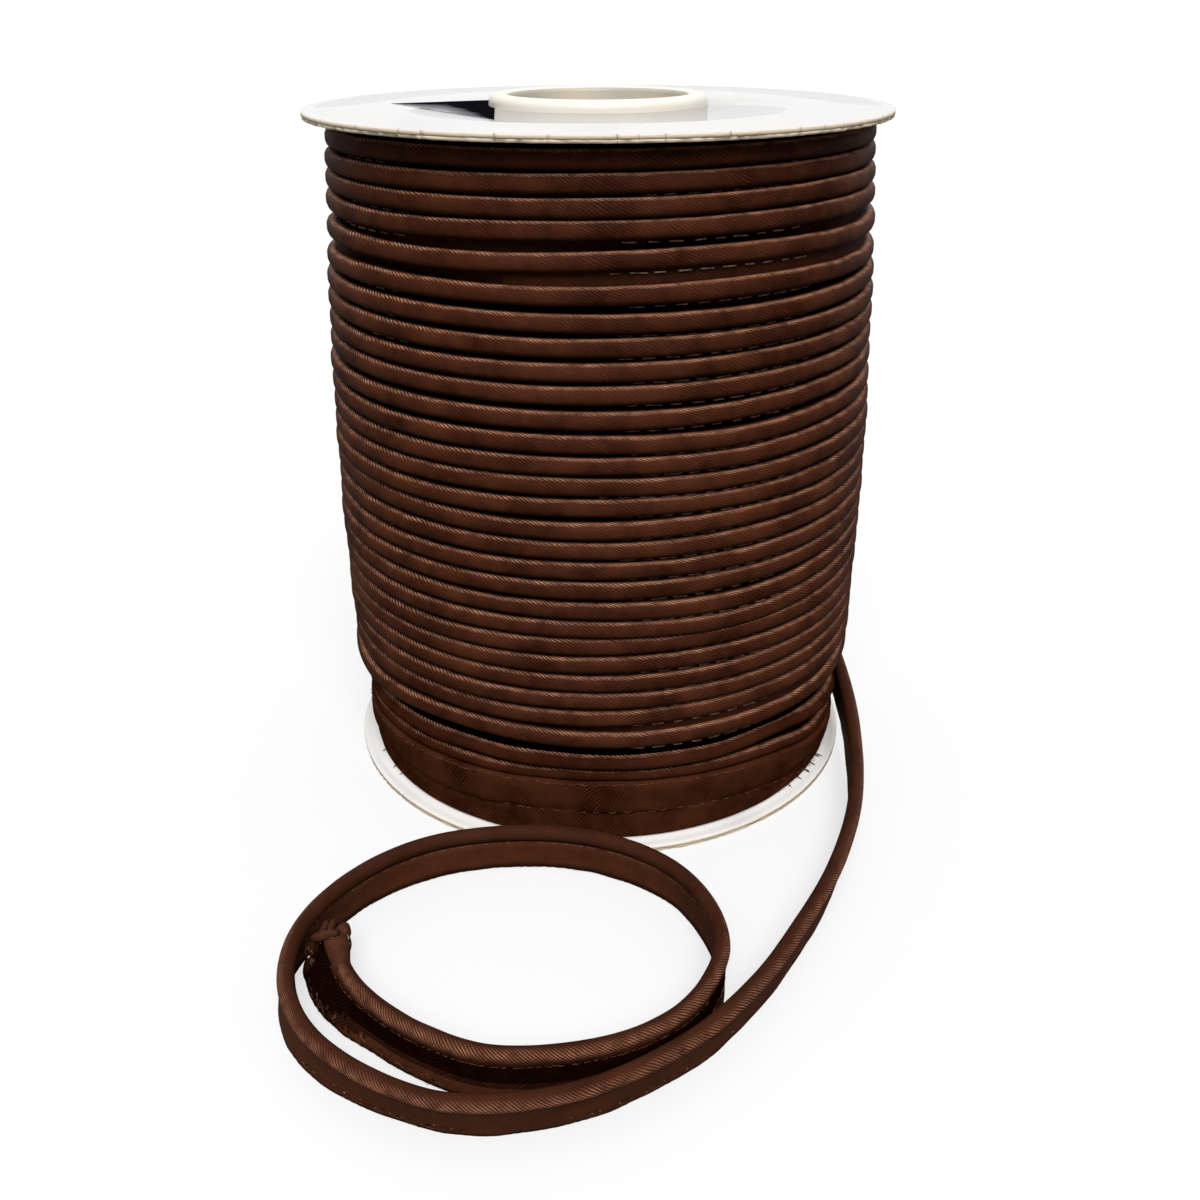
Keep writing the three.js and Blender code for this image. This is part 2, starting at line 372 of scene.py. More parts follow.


# Cloth finishes: colours are linear, sizes are metres and slant is in radians. crest and foot are
# the way round the section to the painted highlight on the bead's crest and to the painted shade under it.
bead = {
    "dark": (0.0060, 0.0014, 0.0006, 1),
    "mid": (0.0345, 0.0082, 0.0030, 1),
    "bright": (0.1500, 0.0470, 0.0210, 1),
    # colour of the painted highlight on the rib tops at the crest
    "paintedHighlight": (0.7000, 0.3300, 0.2000, 1),
    "spacing": 0.58 * mm,
    "slant": 0.54,
    "wander": 0.8,
    "ribDepth": 0.26 * mm,
    "plain": 0.42,  # strength of the ribs away from the painted highlight on the crest
    "gap": 0.6,  # painted shade between the ribs
    "patch": 0.32,
    "roughness": 0.48,
    "gloss": 0.03,
    "crest": 9.3 * mm,
    "reach": 0.9 * mm,
    "foot": 5.0 * mm,
}
innerBead = dict(bead, gloss=0.0, mid=(0.0400, 0.0104, 0.0042, 1), bright=(0.1050, 0.0320, 0.0145, 1))
looseBead = dict(
    bead,
    mid=(0.0500, 0.0148, 0.0066, 1),
    bright=(0.0900, 0.0300, 0.0145, 1),
    # a dimmer painted highlight on the loose end's crest
    paintedHighlight=(0.3400, 0.1420, 0.0800, 1),
    spacing=0.50 * mm,
    slant=0.72,
    plain=0.45,
    crest=10.3 * mm,
    reach=1.7 * mm,
    foot=7.6 * mm,
)
seam = {
    "dark": (0.0120, 0.0030, 0.0012, 1),
    "mid": (0.0440, 0.0128, 0.0052, 1),
    "bright": (0.0760, 0.0250, 0.0115, 1),
    "spacing": 0.62 * mm,
    "slant": -0.75,
    "wander": 1.2,
    "ribDepth": 0.05 * mm,
    "gap": 0.5,
    "patch": 0.2,
    "roughness": 0.6,
    "gloss": 0.04,
}
looseSeam = dict(
    seam,
    dark=(0.0460, 0.0130, 0.0052, 1),
    mid=(0.0660, 0.0182, 0.0066, 1),
    bright=(0.1160, 0.0370, 0.0160, 1),
    spacing=0.5 * mm,
    patch=0.35,
)
dim = dict(
    seam,
    dark=(0.0060, 0.0015, 0.0006, 1),
    mid=(0.0230, 0.0062, 0.0025, 1),
    bright=(0.0520, 0.0160, 0.0070, 1),
)
fold = dict(
    seam,
    mid=(0.0600, 0.0190, 0.0090, 1),
    bright=(0.1500, 0.0560, 0.0290, 1),
    spacing=0.42 * mm,
    ribDepth=0.15 * mm,
)
band = dict(
    seam,
    dark=(0.0100, 0.0020, 0.0006, 1),
    mid=(0.0360, 0.0088, 0.0032, 1),
    bright=(0.0850, 0.0265, 0.0120, 1),
    patch=0.6,
    gloss=0.0,
)
# Near-black seam cloth: painted shade in the grooves between turns and on the body under them
grooveShade = dict(
    seam,
    dark=(0.0006, 0.0002, 0.0001, 1),
    mid=(0.0030, 0.0008, 0.0004, 1),
    bright=(0.0060, 0.0016, 0.0008, 1),
    gloss=0.0,
)
shaded = dict(grooveShade, mid=(0.0080, 0.0018, 0.0008, 1), bright=(0.0180, 0.0048, 0.0022, 1))

# What all the cloths share
weave = {
    "fineDark": 0.3,  # darkness of the fine yarn lines
    "fineHeight": 0.25,  # their height as a share of the ribs' height
    "footDark": 0.85,  # darkness of the shade under a bead
    "clearAt": 0.7,  # the share of the crest's painted highlight from which the ribs are at full strength
}


def clothMaterial(name, spec, mirrored=False):
    material, tree, shader = newMaterial(name, spec["roughness"], spec["gloss"])
    strip = stripOf(tree)
    ribs = placeGroup(tree, biasRibs, {
        "Strip": strip,
        "Spacing": spec["spacing"],
        "Slant": -spec["slant"] if mirrored else spec["slant"],
        "Wander": spec["wander"],
    })
    grain = placeGroup(tree, yarnGrain, {"Strip": strip, "Place": placeOf(tree)})
    clear = 1.0
    if "crest" in spec:
        crest = placeGroup(tree, beadCrest, {
            "Strip": strip,
            "Crest": spec["crest"],
            "Reach": spec["reach"],
            "Foot": spec["foot"],
        })
        clear = spread(tree, crest["Worn"], 0.0, weave["clearAt"], spec["plain"], 1.0)
    # Rib tops lighter and the ground between them darker: the weave's pattern with painted highlight and
    # shade
    tone = calc(tree, "MULTIPLY", ribs["Tone"], clear)
    colour = blendColour(tree, tone, spec["mid"], spec["bright"])
    shade = calc(tree, "MULTIPLY", calc(tree, "SUBTRACT", 1.0, ribs["Tone"]), spec["gap"])
    colour = blendColour(tree, calc(tree, "MULTIPLY", shade, clear), colour, spec["dark"])
    lines = calc(tree, "MULTIPLY", grain["Fine"], weave["fineDark"])
    colour = blendColour(tree, lines, colour, spec["dark"])
    patch = calc(tree, "MULTIPLY", grain["Patches"], spec["patch"])
    colour = blendColour(tree, patch, colour, spec["bright"])
    # A painted highlight on the rib tops at the bead's crest, and painted shade under the bead
    if "crest" in spec:
        tips = calc(tree, "MULTIPLY", crest["Worn"], ribs["Tone"])
        colour = blendColour(tree, tips, colour, spec["paintedHighlight"])
        under = calc(tree, "MULTIPLY", crest["Shade"], weave["footDark"])
        colour = blendColour(tree, under, colour, spec["dark"])
    feed(tree, shader.inputs["Base Color"], colour)
    fine = calc(tree, "MULTIPLY", grain["Fine"], weave["fineHeight"])
    raised = calc(tree, "MULTIPLY", ribs["Height"], clear)
    bump(tree, shader, calc(tree, "ADD", raised, fine), spec["ribDepth"])
    return material


# Mirrored ribs slant the other way, as they do on the loose end
beadCloth = clothMaterial("beadCloth", bead)
beadClothLoose = clothMaterial("beadClothLoose", looseBead, mirrored=True)
innerCloth = clothMaterial("innerCloth", innerBead)
seamCloth = clothMaterial("seamCloth", seam)
seamClothLoose = clothMaterial("seamClothLoose", looseSeam, mirrored=True)
bandCloth = clothMaterial("bandCloth", band)
grooveShadeCloth = clothMaterial("grooveShadeCloth", grooveShade)
shadedCloth = clothMaterial("shadedCloth", shaded, mirrored=True)
dimCloth = clothMaterial("dimCloth", dim, mirrored=True)
foldCloth = clothMaterial("foldCloth", fold, mirrored=True)


thread = {
    "roughness": 0.7,
    "gloss": 0.1,
    "patchScale": 900,  # light and dark patches a metre
    "twistScale": 6000,
    "twistDepth": 0.03 * mm,
}


def threadMaterial(name, dark, light):
    material, tree, shader = newMaterial(name, thread["roughness"], thread["gloss"])
    place = placeOf(tree)
    share = spread(tree, noise(tree, place, thread["patchScale"], 2), 0.35, 0.65)
    feed(tree, shader.inputs["Base Color"], blendColour(tree, share, dark, light))
    bump(tree, shader, noise(tree, place, thread["twistScale"], 1), thread["twistDepth"])
    return material


stitchThread = threadMaterial("stitchThread", (0.12, 0.058, 0.040, 1), (0.42, 0.25, 0.18, 1))
frayThread = threadMaterial("frayThread", (0.05, 0.017, 0.009, 1), (0.26, 0.12, 0.072, 1))
seamThread = threadMaterial("seamThread", (0.040, 0.014, 0.007, 1), (0.19, 0.085, 0.050, 1))
darkThread = threadMaterial("darkThread", (0.004, 0.001, 0.0005, 1), (0.030, 0.009, 0.004, 1))
paleThread = threadMaterial("paleThread", (0.40, 0.30, 0.27, 1), (0.75, 0.66, 0.62, 1))


# Card finishes: colours, roughness and how strongly smudges, fibres and stains show
card = {
    "face": (0.68, 0.67, 0.66, 1),
    "faceLowLit": (0.84, 0.815, 0.78, 1),  # painted light: lighter than the face, to lift the roll's shade on the lower disc
    "faceRoughness": 0.10,
    "smudge": (0.60, 0.585, 0.625, 1),
    "smudgeShare": 0.55,
    "edge": (0.86, 0.72, 0.54, 1),
    "edgeDark": (0.27, 0.19, 0.125, 1),
    "edgeRoughness": 0.75,
    "tornRoughness": 0.9,
    "fibreShare": 0.6,
    "fibreDepth": 0.05 * mm,
    "tube": (0.80, 0.77, 0.70, 1),
    "inside": (0.46, 0.42, 0.35, 1),
    "tubeRoughness": 0.42,
    "stainShare": 0.4,
    "print": (0.004, 0.004, 0.006, 1),
    "printLight": (0.42, 0.42, 0.46, 1),
}


def cardFaceMaterial(name, face):
    material, tree, shader = newMaterial(name, card["faceRoughness"], 0.5)
    place = placeOf(tree)
    marks = noise(tree, stretched(tree, place, (1, 0.35, 1)), 42, 2)
    smudge = spread(tree, marks, 0.52, 0.72, 0, card["smudgeShare"])
    colour = blendColour(tree, smudge, face, card["smudge"])
    feed(tree, shader.inputs["Base Color"], colour)
    bump(tree, shader, noise(tree, place, 300, 2), 0.008 * mm)
    return material


# A plain dark wedge printed beside the tube: black at its back edge, fading to the front
wedge = {
    "tip": (-44.9, 3.3),
    "back": (-23.0, 12.2),
    "front": (-19.6, -35.5),
    "height": 151.58,
    "thickness": 0.03,
    "strips": 24,
    "fadeFrom": 0.30,  # of the way round from the back edge to the front one
}


def wedgeMaterial(name):
    material, tree, shader = newMaterial(name, 0.7, 0.0)
    strip = stripOf(tree)
    split = splitUp(tree, strip)
    streaks = noise(tree, stretched(tree, strip, (2.5, 14, 1)), 1.0, 3)
    fade = calc(tree, "ADD", split["Y"], sway(tree, streaks, 0.5))
    fade = calc(tree, "SUBTRACT", fade, spread(tree, split["X"], 0.55, 1.0, 0.0, 0.75))
    share = spread(tree, fade, wedge["fadeFrom"], 0.95)
    feed(tree, shader.inputs["Base Color"], blendColour(tree, share, card["print"], card["printLight"]))
    feed(tree, shader.inputs["Alpha"], spread(tree, fade, 0.45, 1.0, 1.0, 0.0))
    return material


def cardEdgeMaterial(name):
    material, tree, shader = newMaterial(name, card["edgeRoughness"], 0.25)
    fibre = noise(tree, stretched(tree, stripOf(tree), (400, 6000, 1)), 1.0, 3)
    share = spread(tree, fibre, 0.55, 0.8, 0, card["fibreShare"])
    feed(tree, shader.inputs["Base Color"], blendColour(tree, share, card["edge"], card["edgeDark"]))
    bump(tree, shader, fibre, card["fibreDepth"])
    return material


def tornCardMaterial(name):
    material, tree, shader = newMaterial(name, card["tornRoughness"], 0.2)
    fibre = noise(tree, stretched(tree, stripOf(tree), (900, 4000, 1)), 1.0, 2)
    feed(tree, shader.inputs["Base Color"], blendColour(tree, fibre, card["edgeDark"], card["edge"]))
    bump(tree, shader, fibre, card["fibreDepth"])
    return material


def tubeMaterial(name, colour):
    material, tree, shader = newMaterial(name, card["tubeRoughness"], 0.4)
    place = placeOf(tree)
    marks = noise(tree, stretched(tree, place, (1, 1, 0.4)), 60, 3)
    stain = spread(tree, marks, 0.4, 0.8, 0, card["stainShare"])
    feed(tree, shader.inputs["Base Color"], blendColour(tree, stain, colour, card["edge"]))
    bump(tree, shader, noise(tree, place, 1500, 2), 0.02 * mm)
    return material


cardFace = cardFaceMaterial("cardFace", card["face"])
# The lower disc's face is a lighter copy: painted light against the roll's shade
cardFaceLowLit = cardFaceMaterial("cardFaceLowLit", card["faceLowLit"])
wedgePrint = wedgeMaterial("wedgePrint")
cardEdge = cardEdgeMaterial("cardEdge")
cardCrack = tornCardMaterial("cardCrack")
tubeCard = tubeMaterial("tubeCard", card["tube"])
tubeInside = tubeMaterial("tubeInside", card["inside"])
print("materials made")


# Loose end: its route from the roll, in millimetres at the middle of the strip's width. lift is
# the seam edge's height above the surface and lean how far the bead leans out, in degrees.
looseEnd = {
    "tapeWidth": 10.7,
    "beadDiameter": 3.3,
    "seamThickness": 1.1,
    "rest": 0.2,
    "step": 0.75,
    "floorGap": 0.05,
    "exit": (61.2, 9, 13.8),
    "length": 0.482,  # in metres
    "sway": 0.07,  # of the seam's foot, to both sides
    "ripple": 0.025,
    "fray": 0.08,
    "plumpJitter": 0.007,
    "flare": 0.56,  # how much wider the bead's end is
    "flareReach": 9,
    # Rows of the route from which the inner side is crossed, is painted in shade and has a bare bead
    "crossedFrom": 29.2,
    "darkFrom": 38.5,
    "darkSlant": 0.45,  # earlier by this for each side up from the foot
    "dimWidth": 0.9,
    "bareFrom": 37.7,
    "ragged": 0.32,  # of a row, at the borders of these places
}
# Rows are (right, back, lift, lean)
route = [
    (57.9, 19.9, 8.6, 1), (61.2, 9, 8.2, 2), (61.6, -3, 7.7, 2), (61.8, -14, 6.4, 2),
    (61.6, -24, 4.5, 3), (60.8, -34, 2.4, 4), (59.4, -44, 0.9, 5), (56.7, -56, 0.3, 6),
    (52.7, -68, 0, 6), (47.1, -81, 0, 6), (39.3, -95, 0, 6), (29.6, -109.8, 0, 8),
    (17.5, -123, 0, 10), (2.5, -132.9, 0, 12), (-11.8, -137.4, 0, 13), (-26, -137.8, 0, 12),
    (-39, -133, 0, 8), (-50.2, -125.3, 0, -1), (-57.1, -116, 0, -8), (-60.1, -105.5, 0, -12),
    (-58.8, -95, 0, -6), (-53.6, -84.4, 0, -2), (-45.2, -75.2, 0, 0), (-34, -68.9, 0, 0),
    (-20, -66.3, 0, 0), (-6, -67.2, 0, 0), (6.3, -71.7, 0, 0), (15.9, -79.8, 0, 1),
    (21.4, -90.5, 0, 3), (23.1, -101.5, 0, 0), (20.7, -111.2, 0, -10), (14.3, -119.9, 0, -10),
    (4.2, -126.1, 0, -10), (-8.2, -129.1, 0, -12), (-20.8, -128.9, 0, -12), (-32.2, -124.1, 0, -12),
    (-41, -117.9, 0, -15), (-46.9, -112.4, 0, -28), (-51.4, -106, 0, -42), (-54.4, -98.7, 0.5, -48),
]


# Catmull-Rom curve through rows, at shares of the row count
def throughRows(rows, places):
    rows = np.array(rows, float)
    padded = np.vstack([2 * rows[0] - rows[1], rows, 2 * rows[-1] - rows[-2]])
    below = np.minimum(np.floor(places).astype(int), len(rows) - 2)
    share = (places - below)[:, None]
    before, first, second, after = (padded[below + step] for step in range(4))
    leave = (second - before) / 2
    arrive = (after - first) / 2
    square = share * share
    cube = square * share
    return (first * (2 * cube - 3 * square + 1) + leave * (cube - 2 * square + share)
            + second * (3 * square - 2 * cube) + arrive * (cube - square))


# Centres and directions along the route, one every step
def routeFrames(spec):
    dense = np.linspace(0, len(route) - 1, 6000)
    rows = throughRows(route, dense)
    length = lengthAlong(rows[:, :2])
    count = int(length[-1] / spec["step"]) + 1
    rowAt = np.interp(np.linspace(0, length[-1], count), length, dense)
    rows = throughRows(route, rowAt)
    lean = np.radians(rows[:, 3])
    half = spec["tapeWidth"] / 2 * np.cos(lean) + spec["seamThickness"] / 2 * np.abs(np.sin(lean))
    centres = np.column_stack([rows[:, :2], spec["rest"] + np.maximum(rows[:, 2], 0) + half])
    along = normalised(np.gradient(centres, axis=0))
    left = normalised(np.cross([0, 0, 1], along))
    upright = np.cross(along, left)
    up = upright * np.cos(lean)[:, None] + left * np.sin(lean)[:, None]
    side = np.cross(up, along)
    return centres, along, side, up, lengthAlong(centres), rowAt


looseFrames = routeFrames(looseEnd)


# The strip's section, from the foot on the outer side, round the bead and down the inner side:
# (outwards, up) from the middle of its width. The two layers part a little at the foot.
def stripSection(spec):
    radius = spec["beadDiameter"] / 2
    middle = spec["tapeWidth"] / 2 - radius
    foot = -spec["tapeWidth"] / 2
    outer = [(0.10, foot + 0.1), (0.62, foot), (0.65, -4.5), (0.68, -3.6), (0.73, -2.5), (0.78, -1.4)]
    outer += [(0.95, 0.4), (1.12, 1.6), (1.2, 2.3)]
    turns = np.radians(np.linspace(-40, 242, 17))
    over = [(radius * math.cos(t), middle + radius * math.sin(t)) for t in turns]
    inner = [(-0.5, 1.8), (-0.74, 1.6), (-0.66, 0.2), (-0.5, -1.4), (-0.58, -3.6)]
    inner += [(-0.62, foot + 0.1), (-0.12, foot + 0.15)]
    slit = [(-0.02, foot + 0.9)]
    zones = [1] * (len(outer) - 1) + [0] * len(over) + [2] + [1] * (len(inner) + len(slit))
    return np.array(outer + over + inner + slit), zones


# Cloths by place: the bead, the seam, the part of it in painted shade under the bead, its border in painted
# half shade, and the bead's smooth end with the band's cloth as painted shade on its inner side
looseCloths = [beadClothLoose, seamClothLoose, shadedCloth, dimCloth, foldCloth, bandCloth]


# Sides 1 to 4 of the section are the outer seam from its foot up, 5 to 7 its part under the bead
def looseZones(spec, section, zones, rows):
    side = np.arange(len(section))[None, :]
    place = rows[:, None]
    zones = np.tile(zones, (len(rows), 1))
    ragged = np.random.default_rng(8).uniform(-spec["ragged"], spec["ragged"], zones.shape)
    darkFrom = spec["darkFrom"] - spec["darkSlant"] * side + ragged
    # Painted shade and half shade on the seam in the given rows, and painted shade on the bare bead end's
    # inner side
    outerSeam = (side > 0) & (side < 5)
    zones[outerSeam & (place > darkFrom - spec["dimWidth"])] = 3
    crossed = place > spec["crossedFrom"]
    zones[crossed & (side == 4)] = 3
    zones[crossed & (side > 4) & (side < 8)] = 2
    zones[outerSeam & (place > darkFrom)] = 2
    bare = (zones == 0) & (place > spec["bareFrom"] + 0.5 * ragged)
    zones[bare] = 4
    innerSide = section[:, 0] < -0.35 * spec["beadDiameter"] / 2
    zones[bare & innerSide[None, :]] = 5
    return zones


def makeLooseEnd(spec):
    centres, along, outwards, up, arc, rowAt = looseFrames
    section, zones = stripSection(spec)
    zones = looseZones(spec, section, zones, rowAt[:-1])
    low = smoothStep(1, -5, section[:, 1])[None, :]
    wave = spec["sway"] * wander(arc, 14, 3) + spec["ripple"] * wander(arc, 2, 4)
    fray = spec["fray"] * np.abs(wander(arc, 0.8, 5))
    across = section[:, 0] + low * wave[:, None]
    upward = section[:, 1] + (low ** 3) * fray[:, None]
    flare = spec["flare"] * smoothStep(arc[-1] - spec["flareReach"], arc[-1], arc)
    plump = (1 + spec["plumpJitter"] * wander(arc, 6, 6) + flare)[:, None]
    inBead = (section[:, 1] > 2.35)[None, :]  # above the outer seam's last point
    middle = (spec["tapeWidth"] - spec["beadDiameter"]) / 2
    across = np.where(inBead, across * plump, across)
    upward = np.where(inBead, middle + (upward - middle) * plump, upward)
    rings = centres[:, None] + outwards[:, None] * across[:, :, None] + up[:, None] * upward[:, :, None]
    rings[:, :, 2] = np.maximum(rings[:, :, 2], spec["floorGap"])
    piece = sweep("looseEnd", rings * mm, arc * mm, aroundOf(section) * mm, zones, looseCloths)
    return piece, centres * mm


looseStrand, loosePath = makeLooseEnd(looseEnd)
print("loose end made")

# Winding: the strand's way up the roll from the loose end. Heights and radii are in millimetres,
# and lengths along the strand in turns.
winding = {
    "startAngle": 19.0,  # where the loose end leaves, in degrees anticlockwise from +X
    "turns": 27.3,
    "stepsPerTurn": 150,
    "beadRadius": 1.82,
    "climbAtBack": 0.7,  # how much of the climb happens at the back
    "shift": 0.4,  # of the roll to the right of the spool's axis
    "startHeight": 17.5,
    "startRadius": 61.2,
    "startReach": 0.09,  # turns after which it lies on the roll
    "riseReach": 0.52,  # turns after which it lies in its groove
    "firstOut": 0.8,  # how much further out the first half turn lies
    "hangs": (0.40, 0.52),  # its seam edge hangs open before the first and is tucked in after the second
    "seamShows": 0.46,
    "heightJitter": 0.11,
    "radiusJitter": 0.09,
    "plumpJitter": 0.014,
    "longTape": 8.6,  # length of the seam edge on the first turn
    "shortTape": 5.0,
    "topLimit": 147.9,  # the last turns press up against the flange here
    "topSoftness": 0.4,
    "dive": 4.6,  # how far the end goes in under the flange
    "diveReach": 0.1,
    "gapFrom": 5.15,  # distance of two turns from which the seam edge starts to show between them
    "gapTo": 5.9,
    "hidden": 0.08,  # up to this share of a gap the seam edge is painted black shade, and up to the next one painted half shade
    "dim": 0.8,
}
# Grooves between the turns at the front: (number from below, height)
grooves = [
    (0, 21.1), (1, 26.4), (2, 32.5), (3, 37.1), (6, 49.7), (17, 97.8), (18, 102.9),
    (22, 120.7), (23, 125.7), (24, 132.3), (25, 136.8), (28, 148.9), (29, 152.0),
]
# The roll's outline over the beads: (height, radius)
barrel = [
    (21, 61.2), (27, 61.9), (38, 62.2), (66, 62.3), (90, 61.9), (112, 61.0), (134, 59.4), (150, 58.2),
]
# Turns that lie unevenly: each pushes the beads round it up or down (height, angle, spans, lift)
unevenTurns = [
    (29, -153, 5, 22, -1.2), (31, -125, 4, 22, 0.8), (28.5, -34, 4, 26, -1.2),
    (132, -55, 5, 30, 0.7), (126, -60, 3, 28, 0.8), (58, -62, 4, 20, -1.2), (50, -64, 4, 22, 0.6),
    (94, -64, 5, 18, -0.6), (140, -120, 6, 30, -0.5),
]


def column(rows, index):
    return np.array([row[index] for row in rows], float)


# Second column of a table of rows, read at places in the first
def tableAt(rows, places):
    return np.interp(places, column(rows, 0), column(rows, 1))


# Degrees from a centre to an angle, the short way round
def turnAway(angle, centre):
    return (angle - centre + 180) % 360 - 180


def unevenLift(height, angle):
    lift = np.zeros_like(height)
    for level, centre, tall, wide, amount in unevenTurns:
        up = (height - level) / tall
        away = turnAway(angle, centre) / wide
        lift += amount * np.exp(-up * up - away * away)
    return lift


# The strand's line round the roll, from the loose end upwards
def windingLine(spec):
    steps = np.linspace(0, spec["turns"], int(spec["turns"] * spec["stepsPerTurn"]) + 1)
    angle = spec["startAngle"] + 360 * steps
    front = ((270 - spec["startAngle"]) / 360) % 1
    climbed = steps - spec["climbAtBack"] / (2 * math.pi) * np.sin(2 * math.pi * (steps - front))
    height = tableAt(grooves, climbed - front + 1.5)
    first = 1 - smoothStep(0, spec["riseReach"], steps)
    height = height + first * (spec["startHeight"] - height[0])
    height = height + unevenLift(height, angle) * smoothStep(0.2, 0.6, steps)
    height = height + spec["heightJitter"] * wander(steps, 0.13, 11) * smoothStep(0.05, 0.5, steps)
    soft = spec["topSoftness"]
    height = height - soft * np.log1p(np.exp((height - spec["topLimit"]) / soft))
    radius = tableAt(barrel, height) - spec["beadRadius"]
    radius = radius + spec["firstOut"] * (1 - smoothStep(0.4, 0.55, steps))
    radius = radius + (spec["startRadius"] - radius[0]) * (1 - smoothStep(0, spec["startReach"], steps))
    radius = radius + spec["radiusJitter"] * wander(steps, 0.16, 12)
    radius = radius - spec["dive"] * smoothStep(spec["turns"] - spec["diveReach"], spec["turns"], steps)
    turn = np.radians(angle)
    return steps, roundAxis(turn, radius, height, spec["shift"]), roundAxis(turn, 1, 0)


# The beads press each other a little square
def squared(radius, share):
    return radius * math.copysign(abs(share) ** 0.74, share)


# Section of a wound turn: (outwards, up) from the bead's middle. The strip's seam edge hangs
# straight down where it is the outermost layer, and is tucked in behind the next bead elsewhere.
def woundSection(radius):
    turns = np.radians(np.linspace(-84, 238, 14))
    over = [(squared(radius + 0.1, math.cos(t)), squared(radius, math.sin(t))) for t in turns]
    tucked = [(-2.3, -5.0), (-1.95, -4.0), (-1.3, -3.1), (-0.45, -2.35)] + over
    tucked += [(-1.6, -2.3), (-2.5, -3.2), (-3.2, -5.0)]
    hanging = [(0.45, -5.0), (0.45, -4.0), (0.42, -3.1), (0.3, -2.3)] + over
    hanging += [(-0.7, -2.3), (-0.65, -3.2), (-0.65, -5.0)]
    zones = [1, 1, 1, 1] + [0] * (len(over) - 1) + [1, 1, 1, 1]
    return np.array(tucked), np.array(hanging), np.array(zones)


# 1 where the turn below lies so far off that the seam edge shows between the beads, else 0
def wideGap(spec, steps, height):
    below = np.interp(steps - 1, steps, height)
    return smoothStep(spec["gapFrom"], spec["gapTo"], height - below) * smoothStep(1.2, 1.4, steps)


# A section set up at each centre, with its way out from the axis; one for all, or one for each
def standing(centres, out, section):
    rings = centres[:, None] + out[:, None] * section[..., 0:1]
    rings[:, :, 2] += section[..., 1]
    return rings


# Cloths by place: the bead, the seam in the open, the painted black shade of a groove, and the seam in half
# shade
windingCloths = [beadCloth, seamCloth, grooveShadeCloth, dimCloth]


def makeWinding(spec):
    steps, centres, out = windingLine(spec)
    tucked, hanging, zones = woundSection(spec["beadRadius"])
    wide = wideGap(spec, steps, centres[:, 2])
    loose = np.maximum(1 - smoothStep(*spec["hangs"], steps), 0.9 * wide)[:, None, None]
    section = tucked[None] * (1 - loose) + hanging[None] * loose
    long = (1 - smoothStep(1.0, 1.3, steps))[:, None]
    reach = spec["longTape"] / spec["shortTape"]
    below = section[:, :, 1] < -2.7  # the points of the seam edge that hang clear of the bead
    section[:, :, 1] = np.where(below, section[:, :, 1] * (1 + (reach - 1) * long), section[:, :, 1])
    plump = 1 + spec["plumpJitter"] * wander(steps, 0.05, 13)
    section = np.where(section[:, :, 1:2] > -2, section * plump[:, None, None], section)
    rings = standing(centres, out, section)
    # Tucked seam edges are painted in black shade, and in painted half shade where a wider gap opens
    tuckedIn = steps > spec["seamShows"]
    hidden = (tuckedIn & (wide < spec["hidden"]))[:-1, None]
    dimmed = (tuckedIn & (wide < spec["dim"]))[:-1, None]
    zones = zones[None, :] * np.where(hidden, 2, np.where(dimmed, 3, 1))
    arc, around = lengthAlong(centres), aroundOf(tucked)
    return sweep("windingTurns", rings * mm, arc * mm, around * mm, zones, windingCloths)


windingTurns = makeWinding(winding)
print("turns made")

# Turns of the layer below that show at the foot of the roll: (angle, height of the bead's middle)
innerTurns = [
    {
        "name": "innerTurnUpper", "radius": 58.2, "bead": 2.2,
        "line": [
            (-190, 20), (-172, 20.5), (-153, 21.4), (-142, 21.8), (-131, 22), (-116, 22.3),
            (-103, 22.6), (-89, 22.3), (-65, 21.8), (-50, 21.8), (-35, 19.8), (-22, 17.2),
            (-8, 14.6), (10, 12.6), (40, 11.5),
        ],
    },
    {
        "name": "innerTurnBack", "radius": 57.4, "bead": 2.2,
        "line": [
            (-12, 15), (6, 19.5), (25, 22.5), (60, 24), (100, 24.5), (140, 24), (165, 22.5), (185, 20.5),
        ],
    },
    {
        "name": "innerTurnBackUpper", "radius": 57.4, "bead": 2.1,
        "line": [(4, 22), (30, 26.4), (60, 28), (100, 28.6), (140, 28), (165, 26), (182, 23.5)],
    },
    {
        "name": "innerTurnLower", "radius": 58.2, "bead": 1.55,
        "line": [
            (-185, 15.4), (-165, 16), (-139, 17.2), (-117, 18.4), (-101, 18.9), (-89, 19), (-65, 18),
            (-48, 16.2), (-36, 14), (-24, 11.7), (-10, 9.8), (10, 8.8), (40, 8.4),
        ],
    },
]


def makeInnerTurn(spec, seed):
    line = spec["line"]
    angle = np.linspace(line[0][0], line[-1][0], 200)
    rows = throughRows(line, np.interp(angle, column(line, 0), np.arange(len(line))))
    turn = np.radians(rows[:, 0])
    radius = spec["radius"] + 0.12 * wander(rows[:, 0] + 360, 14, seed)
    height = rows[:, 1] + 0.12 * wander(rows[:, 0] + 360, 11, seed + 1)
    centres = roundAxis(turn, radius, height, winding["shift"])
    over = np.radians(np.arange(-90, 270, 22.5))
    section = spec["bead"] * np.column_stack([np.cos(over), np.sin(over)])
    rings = standing(centres, roundAxis(turn, 1, 0), section)
    arc = lengthAlong(centres)
    around = aroundOf(section)
    around = around + bead["crest"] / mm - 0.45 * around[-1]
    return sweep(spec["name"], rings * mm, arc * mm, around * mm, [0] * len(section), [innerCloth])


innerPieces = [makeInnerTurn(spec, 20 + index) for index, spec in enumerate(innerTurns)]

